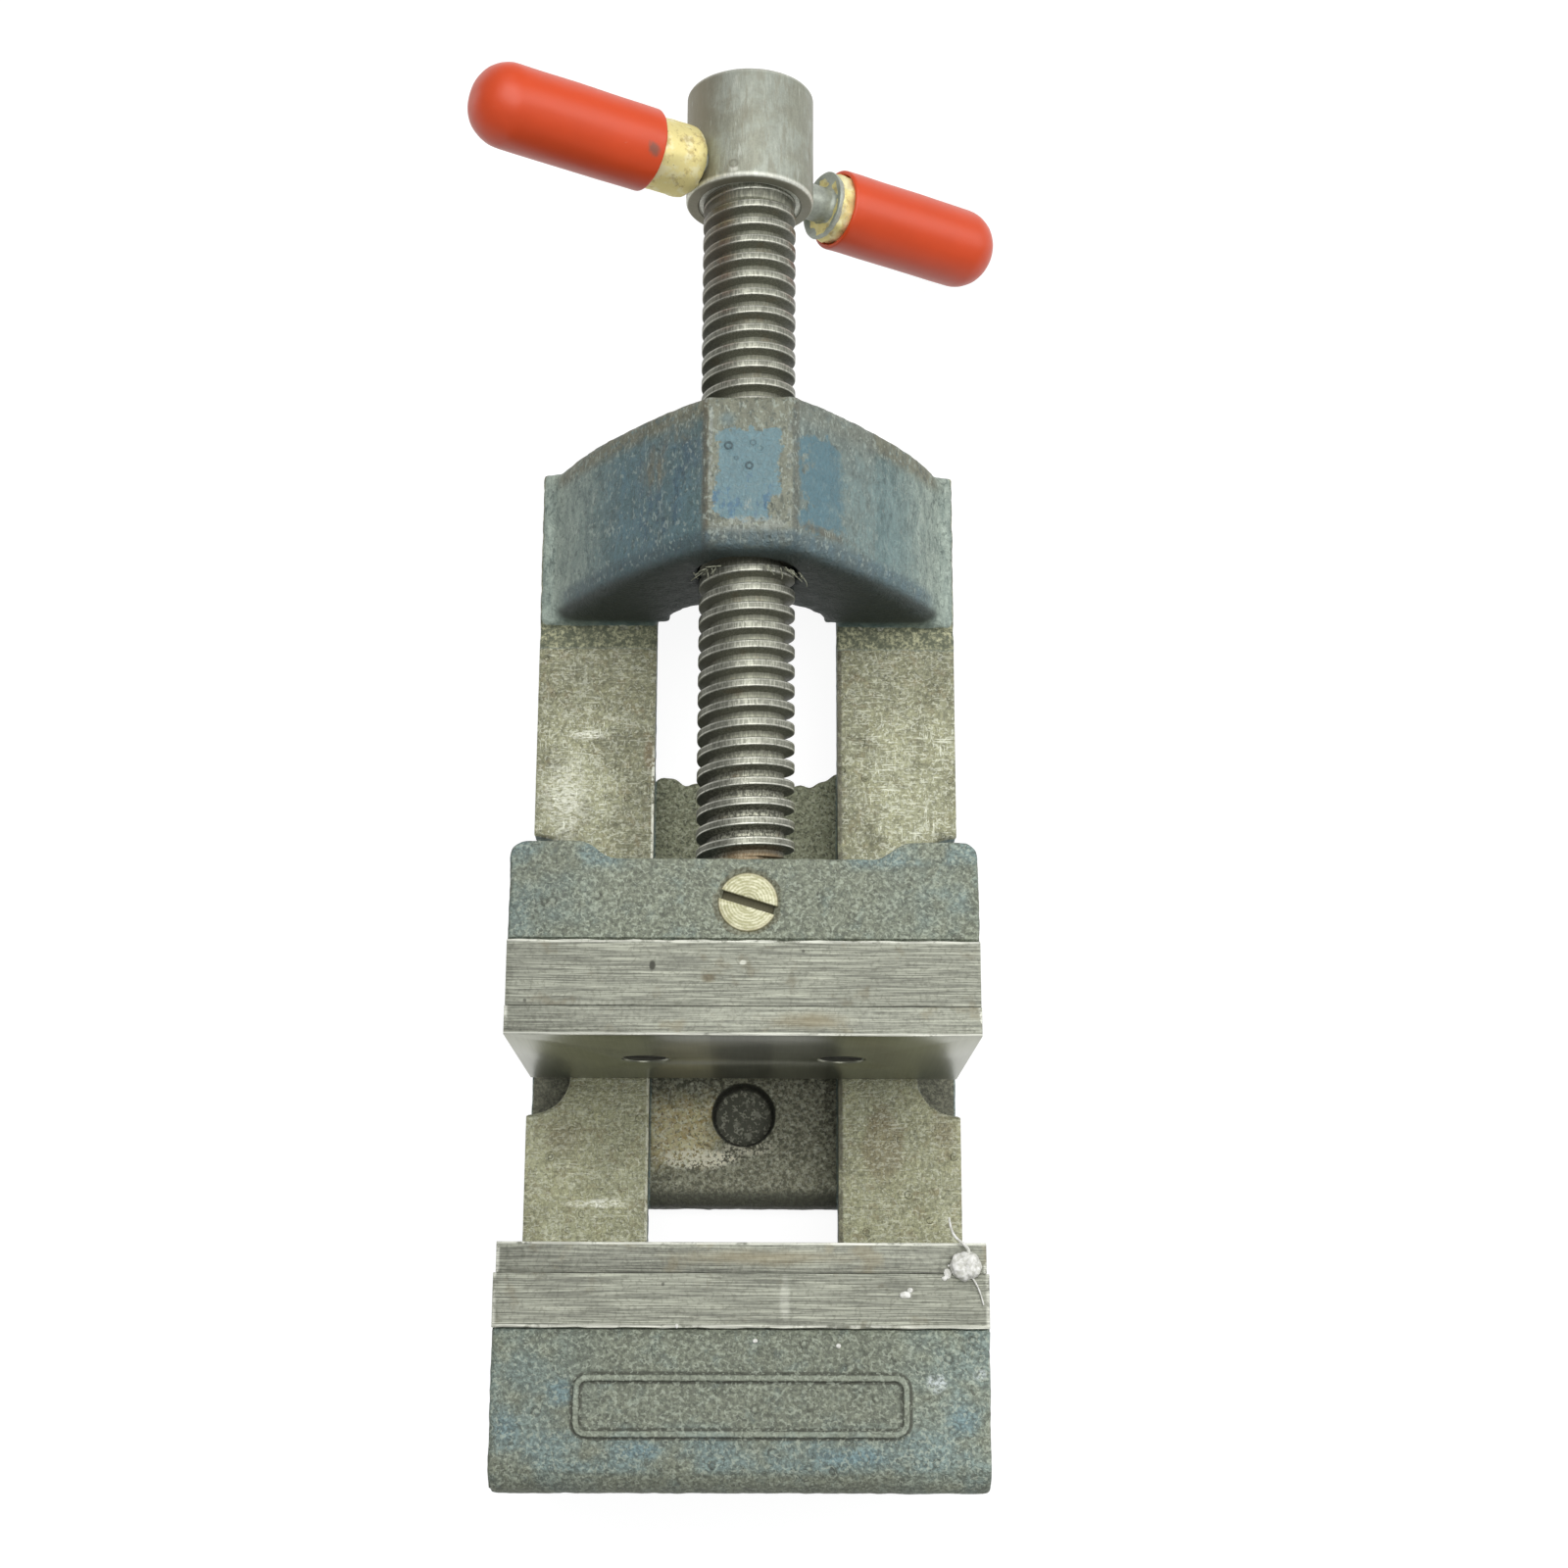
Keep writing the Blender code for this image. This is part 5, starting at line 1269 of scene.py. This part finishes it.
def thread_points(settings):
    """One pitch of a worn trapezoid thread, as (radius, height) points."""
    root, crest, pitch = settings.root_radius, settings.crest_radius, settings.pitch
    shape = ((0.0, 0.0), (0.0, 0.30), (0.05, 0.33), (0.90, 0.44), (0.975, 0.465), (1.0, 0.50),
             (1.0, 0.82), (0.975, 0.855), (0.90, 0.88), (0.05, 0.985), (0.0, 1.0))
    return [(root + (crest - root) * rise, pitch * run) for rise, run in shape]


class VISE_OT_lead_screw(bpy.types.Operator):
    """Model the thread, its neck and nose, and the hub"""
    bl_idname = "vise.lead_screw"
    bl_label = "Lead screw"

    def execute(self, context):
        settings = context.scene.vise_screw
        axis = frame_along(SCREW_AXIS, (0.0, 1.0, 0.0))
        start = THREAD_START
        thread = self.thread(settings, axis, start)
        select(thread, self.neck(axis, start), self.runout(axis))
        bpy.ops.object.join()
        smooth_shade(thread, 40.0)
        dress(thread, "spindle", "screw_steel", screw_finish(settings), "lead_screw")
        hub = self.hub(axis)
        dress(hub, "spindle", "screw_steel", hub_finish(settings), "lead_screw")
        return {"FINISHED"}

    def thread(self, settings, axis, start):
        piece = drawn("lead_screw_thread", thread_points(settings))
        turns = math.ceil((HUB_START - start) / settings.pitch) + 4
        modify(piece, "SCREW", axis="Z", angle=math.tau, screw_offset=settings.pitch,
               iterations=turns, steps=64, render_steps=64, use_merge_vertices=False)
        with Editing(piece):
            bpy.ops.mesh.remove_doubles(threshold=1e-6)
            bpy.ops.mesh.normals_make_consistent(inside=False)
        settle(piece, Matrix.Translation((0.0, 0.0, start - 2 * settings.pitch)))
        cut(piece, (0.0, 0.0, start + settings.neck_length), (0.0, 0.0, -1.0))
        cut(piece, (0.0, 0.0, HUB_START + 0.8 * MM), (0.0, 0.0, 1.0))
        with Editing(piece):
            bpy.ops.mesh.normals_make_consistent(inside=False)
        return settle(piece, axis)

    def neck(self, axis, start):
        nose, shank = 5.0 * MM, 5.45 * MM
        profile = [(0.0, start + 5 * MM), (shank, start + 5 * MM), (shank, start + 0.3 * MM),
                   (nose, start), (nose, start - 4.0 * MM),
                   (3.3 * MM, start - 4.0 * MM), (3.3 * MM, start - 8.6 * MM),
                   (nose, start - 8.6 * MM), (nose, start - 12.2 * MM),
                   (nose - 0.8 * MM, start - 13.0 * MM), (0.0, start - 13.0 * MM)]
        return settle(turned("lead_screw_nose", profile, 48), axis)

    def runout(self, axis):
        """The plain shank where the thread runs out in front of the hub."""
        radius, start = 6.82 * MM, HUB_START - 2.3 * MM
        profile = [(5.0 * MM, start), (radius - 0.5 * MM, start), (radius, start + 0.5 * MM),
                   (radius, HUB_START + 0.9 * MM), (5.0 * MM, HUB_START + 0.9 * MM)]
        return settle(turned("thread_runout", profile, 64, closed=True), axis)

    def hub(self, axis):
        radius, edge = HUB_RADIUS, 0.6 * MM
        profile = [(0.0, HUB_END - 0.35 * MM), (5.5 * MM, HUB_END - 0.35 * MM),
                   (7.2 * MM, HUB_END)]
        profile += arc((radius - edge, HUB_END - edge), edge, 90, 0, 4)
        profile += arc((radius - edge, HUB_START + edge), edge, 0, -90, 4)
        profile += [(7.9 * MM, HUB_START), (7.6 * MM, HUB_START + 0.35 * MM),
                    (5.0 * MM, HUB_START + 0.5 * MM), (0.0, HUB_START + 0.5 * MM)]
        hub = settle(turned("hub", profile, 96), axis)
        deselect()
        bpy.ops.mesh.primitive_cylinder_add(vertices=48, radius=3.05 * MM, depth=30 * MM)
        hole = added("cross_hole")
        settle(hole, frame_along(BAR_CENTRE, bar_direction(1)))
        modify(hub, "BOOLEAN", operation="DIFFERENCE", solver="EXACT", object=hole)
        bpy.data.objects.remove(hole, do_unlink=True)
        return smooth_shade(hub, 35.0)


# Handle

def bar_direction(side):
    """Along the bar: side 1 is the right end, which hangs low, and -1 the left."""
    return Vector((side * math.cos(BAR_TILT), 0.0, -side * math.sin(BAR_TILT)))


def grip(name, start, length_, settings):
    """A dipped vinyl cap with a rolled mouth and a soft dome."""
    radius = settings.grip_radius
    wall = 0.8 * MM
    end = start + length_
    dome = 5.6 * MM
    profile = [(0.0, end)]
    profile += arc((radius - dome, end - dome), dome, 84, 0, 12)
    profile += [(radius, start + 4 * MM), (radius - 0.02 * MM, start + 1.0 * MM)]
    profile += arc((radius - wall / 2, start + wall / 2), wall / 2, 0, -180, 6)
    profile += [(radius - wall, start + 5.5 * MM), (3.2 * MM, start + 6.2 * MM),
                (3.2 * MM, end - 6.2 * MM), (0.0, end - 6.2 * MM)]
    piece = turned(name, profile, 72)
    modify(piece, "SUBSURF", levels=1, render_levels=1)
    return piece


class VISE_OT_handle(bpy.types.Operator):
    """Model the tommy bar with its collars, brass sleeves and vinyl grips"""
    bl_idname = "vise.handle"
    bl_label = "Handle"

    def execute(self, context):
        settings = context.scene.vise_handle
        steel = dull_finish("bar_steel", (0.42, 0.45, 0.39), 0.35, 0.45)
        brass = brass_finish(settings)
        vinyl = vinyl_finish(settings)
        left = frame_along(BAR_CENTRE, bar_direction(-1))
        right = frame_along(BAR_CENTRE, bar_direction(1))
        face = HUB_RADIUS + 0.3 * MM

        left_start = face + 8.0 * MM
        collar_start = HUB_RADIUS + 3.1 * MM
        right_start = collar_start + 2.8 * MM
        for side, place, start, size in (("left", left, left_start, settings.left_grip),
                                         ("right", right, right_start, settings.right_grip)):
            cap = settle(grip(side + "_grip", start, size, settings), place)
            roughen(cap, 0.006, 0.00025)
            smooth_shade(cap, 50.0)
            dress(cap, "handle", "red_vinyl", vinyl, "grip_cap_" + side)
        for side, sleeve, collar in (
                ("left", self.left_sleeve(face, left), self.left_collar(face, left)),
                ("right", self.right_sleeve(collar_start, right_start, right),
                 self.right_collar(collar_start, right))):
            dress(sleeve, "handle", "brass", brass, "brass_sleeve_" + side)
            dress(collar, "handle", "screw_steel", steel, "collar_" + side)

        low = -(left_start + settings.left_grip - GRIP_OVERLAP)
        high = right_start + settings.right_grip - GRIP_OVERLAP
        edge = 0.4 * MM
        profile = [(0.0, high), (BAR_RADIUS - edge, high), (BAR_RADIUS, high - edge),
                   (BAR_RADIUS, low + edge), (BAR_RADIUS - edge, low), (0.0, low)]
        bar = settle(turned("bar", profile, 48), right)
        smooth_shade(bar, 35.0)
        dress(bar, "handle", "screw_steel", steel, "tommy_bar")
        return {"FINISHED"}

    def left_sleeve(self, face, place):
        outer, nose = 5.35 * MM, 2.4 * MM
        profile = [(outer - 0.15 * MM, face + 12.6 * MM), (outer - 0.15 * MM, face + 8.4 * MM)]
        profile += [(outer, face + step * MM) for step in (7.4, 6.4, 5.4, 4.2, 3.2)]
        profile += arc((outer - nose, face + nose - 0.15 * MM), nose, 0, -84, 8)
        profile += [(2.8 * MM, face - 0.15 * MM), (2.8 * MM, face + 1.0 * MM),
                    (outer - 0.7 * MM, face + 3.0 * MM), (outer - 0.7 * MM, face + 12.6 * MM)]
        sleeve = settle(turned("left_brass_sleeve", profile, 64, closed=True), place)
        roughen(sleeve, 0.0036, 0.0004, noise_depth=1, noise_basis="VORONOI_F1")
        roughen(sleeve, 0.0012, 0.0003)
        return smooth_shade(sleeve, 50.0)

    def left_collar(self, face, place):
        inner, outer = 2.8 * MM, 4.2 * MM
        profile = [(outer, face + 12.4 * MM), (outer, face + 3.4 * MM),
                   (inner + 0.2 * MM, face + 2.6 * MM), (inner, face + 2.7 * MM),
                   (inner, face + 12.4 * MM)]
        collar = settle(turned("left_collar", profile, 48, closed=True), place)
        return smooth_shade(collar, 35.0)

    def right_sleeve(self, start, grip_start, place):
        outer, inner = 5.25 * MM, 3.1 * MM
        low = start + 0.9 * MM
        high = grip_start + 6.0 * MM
        profile = [(outer - 0.1 * MM, high)]
        profile += [(outer, grip_start + step * MM) for step in (3.0, 1.0, 0.0, -0.9)]
        profile += [(outer + 0.05 * MM, low + 1.0 * MM), (outer - 0.1 * MM, low + 0.4 * MM),
                    (outer - 0.4 * MM, low), (inner, low), (inner, high)]
        sleeve = settle(turned("right_brass_sleeve", profile, 72, closed=True), place)
        roughen(sleeve, 0.0022, 0.0011, noise_depth=1)
        roughen(sleeve, 0.0009, 0.0003)
        return smooth_shade(sleeve, 50.0)

    def right_collar(self, start, place):
        """A flange that flares out of the bar, dished to clear the hub when the bar slides."""
        inner, outer = 2.7 * MM, 5.2 * MM
        flare = arc((3.55 * MM, start + 0.25 * MM), 0.8 * MM, 178, 96, 8)
        profile = flare + [(4.5 * MM, start + 0.75 * MM), (4.95 * MM, start + 0.4 * MM),
                           (outer, start + 0.45 * MM), (outer + 0.05 * MM, start + 0.7 * MM),
                           (outer - 0.15 * MM, start + 1.3 * MM), (inner, start + 1.4 * MM)]
        collar = settle(turned("right_collar", profile, 64, closed=True), place)
        roughen(collar, 0.0025, 0.0002)
        return smooth_shade(collar, 50.0)


# Dirt that lies on the vise

def lump(name, place, reach, divisions):
    """A rounded lump, its place and half sizes in millimetres."""
    deselect()
    bpy.ops.mesh.primitive_ico_sphere_add(subdivisions=divisions, radius=1.0)
    piece = added(name)
    piece.scale = [part * MM for part in reach]
    piece.location = [part * MM for part in place]
    return settle(piece)


def strand(name, route, radius):
    """A thin tube along points in millimetres, thinner at its far end."""
    curve = bpy.data.curves.new(name, "CURVE")
    curve.dimensions = "3D"
    curve.bevel_depth = radius * MM
    curve.bevel_resolution = 2
    curve.use_fill_caps = True
    spline = curve.splines.new("NURBS")
    spline.points.add(len(route) - 1)
    for index, (point, place) in enumerate(zip(spline.points, route)):
        point.co = (*(part * MM for part in place), 1.0)
        point.radius = 1.0 - 0.6 * index / len(route)
    spline.use_endpoint_u = True
    spline.order_u = 4
    spline.resolution_u = 6
    piece = bpy.data.objects.new(name, curve)
    bpy.context.scene.collection.objects.link(piece)
    select(piece)
    bpy.ops.object.convert(target="MESH")
    return bpy.context.object


class VISE_OT_lint(bpy.types.Operator):
    """Model the white lint and crumbs on the fixed jaw"""
    bl_idname = "vise.lint"
    bl_label = "Lint"

    def execute(self, context):
        finish = lint_finish("lint", (0.62, 0.62, 0.56), (0.88, 0.88, 0.84))
        top = BODY[1].z / MM
        blob = lump("lint_blob", (28.5, -47.7, top + 0.55), (1.95, 1.75, 1.25), 5)
        roughen(blob, 0.0016, 0.0010, noise_depth=2)
        smooth_shade(blob, 60.0)
        dress(blob, "base", "ground_steel", finish)
        routes = ([(28.4, -47.2, top + 0.9), (29.1, -46.4, top + 1.3), (28.7, -45.2, top + 0.8),
                   (27.4, -44.5, top + 0.5), (26.6, -43.4, top + 0.9), (26.4, -41.7, top + 1.1)],
                  [(27.6, -47.2, top + 0.5), (27.0, -47.9, top + 0.4), (26.2, -47.7, top + 0.3)],
                  [(29.0, -48.8, top + 0.3), (30.2, -50.2, top + 0.4), (30.7, -52.6, top + 0.3)])
        for index, (route, radius) in enumerate(zip(routes, (0.26, 0.22, 0.14))):
            fibre = strand(f"lint_fibre_{index + 1}", route, radius)
            smooth_shade(fibre, 60.0)
            dress(fibre, "base", "ground_steel", finish)
        crumbs = ((20.8, -51.4, 0.75, 0.5), (21.4, -50.8, 0.4, 0.35), (26.2, -48.7, 0.5, 0.7),
                  (25.8, -49.3, 0.35, 0.3), (12.3, -57.7, 0.3, 0.3), (-8.1, -55.3, 0.25, 0.3),
                  (1.8, -57.1, 0.3, 0.25))
        for index, (x, y, wide, deep) in enumerate(crumbs):
            height = top if y > FIXED_PAD_EDGE / MM else top - PAD_DROP / MM
            crumb = lump(f"crumb_{index + 1}", (x, y, height + 0.06), (wide, deep, 0.22), 2)
            roughen(crumb, 0.0005, 0.0002)
            dress(crumb, "base", "ground_steel", finish)
        return {"FINISHED"}


class VISE_OT_fluff(bpy.types.Operator):
    """Model the fibrous dirt round the screw at the yoke and at the yoke's feet"""
    bl_idname = "vise.fluff"
    bl_label = "Fluff"

    def execute(self, context):
        finish = lint_finish("oily_fluff", (0.15, 0.155, 0.11), (0.40, 0.41, 0.31))
        seeds = random.Random(11)
        for side, count in ((-1, 9), (1, 12)):
            parts = []
            for index in range(count):
                angle = math.radians(seeds.uniform(15, 75))
                radius = 7.3 + seeds.uniform(0.0, 1.0)
                x = side * radius * math.cos(angle)
                z = AXIS_Z / MM + radius * math.sin(angle)
                route = [(x, 52.0 - 0.06 * (z - 34.0), z)]
                for _ in range(3):
                    px, py, pz = route[-1]
                    route.append((px + side * seeds.uniform(-0.5, 0.9),
                                  py - seeds.uniform(0.0, 0.6), pz + seeds.uniform(-0.7, 0.7)))
                parts.append(strand(f"fluff_{index}", route, 0.11))
            select(*parts)
            bpy.ops.object.join()
            tuft = added("yoke_fluff_" + ("left" if side < 0 else "right"))
            dress(tuft, "base", "ground_steel", finish)
        places = ((-19.0, 51.0, 0.8), (-21.0, 51.3, 0.5), (20.4, 51.0, 0.6), (-16.8, 50.9, 0.35),
                  (17.4, 51.1, 0.4))
        for index, (x, y, wide) in enumerate(places):
            crud = lump(f"crud_{index + 1}", (x, y, 14.2), (wide, 0.45, 0.4), 3)
            roughen(crud, 0.0005, 0.0004)
            dress(crud, "base", "ground_steel", finish)
        return {"FINISHED"}


# Stage

class VISE_OT_stage(bpy.types.Operator):
    """Make the floor, the lights and the camera"""
    bl_idname = "vise.stage"
    bl_label = "Stage"

    def execute(self, context):
        settings = context.scene.vise_stage
        self.floor(settings)
        self.lights(settings)
        self.sky(settings)
        self.camera()
        context.scene.view_settings.view_transform = "Standard"
        return {"FINISHED"}

    def floor(self, settings):
        deselect()
        bpy.ops.mesh.primitive_plane_add(size=FLOOR_SIZE, location=(0.0, 0.0, -0.2 * MM))
        floor = added("floor")
        settle(floor)
        material = bpy.data.materials.new("pale_floor")
        material.use_nodes = True
        tree = material.node_tree
        tree.nodes.clear()

        def wired(kind, inputs, **settings):
            node = tree.nodes.new("ShaderNode" + kind)
            for key, value in settings.items():
                setattr(node, key, value)
            for key, value in inputs.items():
                if isinstance(value, bpy.types.NodeSocket):
                    tree.links.new(value, node.inputs[key])
                else:
                    node.inputs[key].default_value = value
            return node.outputs

        path = wired("LightPath", {})
        seen = wired("Math", {0: path["Is Camera Ray"], 1: path["Is Glossy Ray"]},
                     operation="MAXIMUM")
        glow = wired("Emission", {"Color": (*settings.floor, 1.0), "Strength": FLOOR_GLOW})
        pale = wired("BsdfDiffuse", {"Color": (0.2, 0.2, 0.2, 1.0)})
        plain = wired("BsdfDiffuse", {"Color": (0.30, 0.30, 0.29, 1.0)})
        both = wired("AddShader", {0: glow[0], 1: pale[0]})
        chosen = wired("MixShader", {0: seen[0], 1: plain[0], 2: both[0]})
        wired("OutputMaterial", {"Surface": chosen[0]})
        floor.data.materials.append(material)

    def lights(self, settings):
        for name, place, target, size, power in LIGHTS:
            light = bpy.data.lights.new(name, "AREA")
            light.shape = "RECTANGLE"
            light.size, light.size_y = size
            light.energy = power * settings.key_power
            lamp = bpy.data.objects.new(name, light)
            bpy.context.scene.collection.objects.link(lamp)
            lamp.location = place
            aim = Vector(place) - Vector(target)
            lamp.rotation_euler = aim.to_track_quat("Z", "Y").to_euler()

    def sky(self, settings):
        world = bpy.data.worlds.new("studio")
        bpy.context.scene.world = world
        world.use_nodes = True
        tree = world.node_tree
        ground = tree.nodes["Background"]
        path = tree.nodes.new("ShaderNodeLightPath")
        level = tree.nodes.new("ShaderNodeMapRange")
        level.inputs["To Min"].default_value = settings.sky_strength
        level.inputs["To Max"].default_value = 1.0
        tree.links.new(path.outputs["Is Camera Ray"], level.inputs["Value"])
        tree.links.new(level.outputs["Result"], ground.inputs["Strength"])
        ground.inputs["Color"].default_value = (1.0, 1.0, 1.0, 1.0)

    def camera(self):
        lens = bpy.data.cameras.new("view")
        lens.sensor_width = FILM_WIDTH
        lens.lens = FILM_WIDTH * FOCAL_LENGTH / FRAME_WIDTH
        lens.clip_start = 0.01
        camera = bpy.data.objects.new("view", lens)
        bpy.context.scene.collection.objects.link(camera)
        camera.matrix_world = Matrix.Translation(CAMERA_PLACE)
        for degrees, axis in CAMERA_TURNS:
            camera.matrix_world @= Matrix.Rotation(math.radians(degrees), 4, axis)
        bpy.context.scene.camera = camera


STEPS = (VISE_OT_castings, VISE_OT_pads, VISE_OT_panel_rim, VISE_OT_sliding_jaw, VISE_OT_plates,
         VISE_OT_small_screws, VISE_OT_retaining_screw, VISE_OT_lead_screw, VISE_OT_handle,
         VISE_OT_lint, VISE_OT_fluff, VISE_OT_stage)
SETTINGS = {"vise_casting": CastingSettings, "vise_jaws": JawSettings,
            "vise_screw": ScrewSettings, "vise_handle": HandleSettings,
            "vise_stage": StageSettings}


class VISE_PT_steps(bpy.types.Panel):
    """Lists the sizes, the colours and the steps"""
    bl_idname = "VISE_PT_steps"
    bl_label = "Drill press vise"
    bl_space_type = "VIEW_3D"
    bl_region_type = "UI"
    bl_category = "Vise"

    def draw(self, context):
        for step in STEPS:
            self.layout.operator(step.bl_idname)
        for name, group in SETTINGS.items():
            box = self.layout.box()
            for key in group.__annotations__:
                box.prop(getattr(context.scene, name), key)


def register():
    for item in (*SETTINGS.values(), *STEPS, VISE_PT_steps):
        bpy.utils.register_class(item)
    for name, group in SETTINGS.items():
        setattr(bpy.types.Scene, name, bpy.props.PointerProperty(type=group))


def unregister():
    for name in SETTINGS:
        delattr(bpy.types.Scene, name)
    for item in reversed((*SETTINGS.values(), *STEPS, VISE_PT_steps)):
        bpy.utils.unregister_class(item)


def main():
    register()
    for step in STEPS:
        family, name = step.bl_idname.split(".")
        getattr(getattr(bpy.ops, family), name)()


if __name__ == "__main__":
    main()
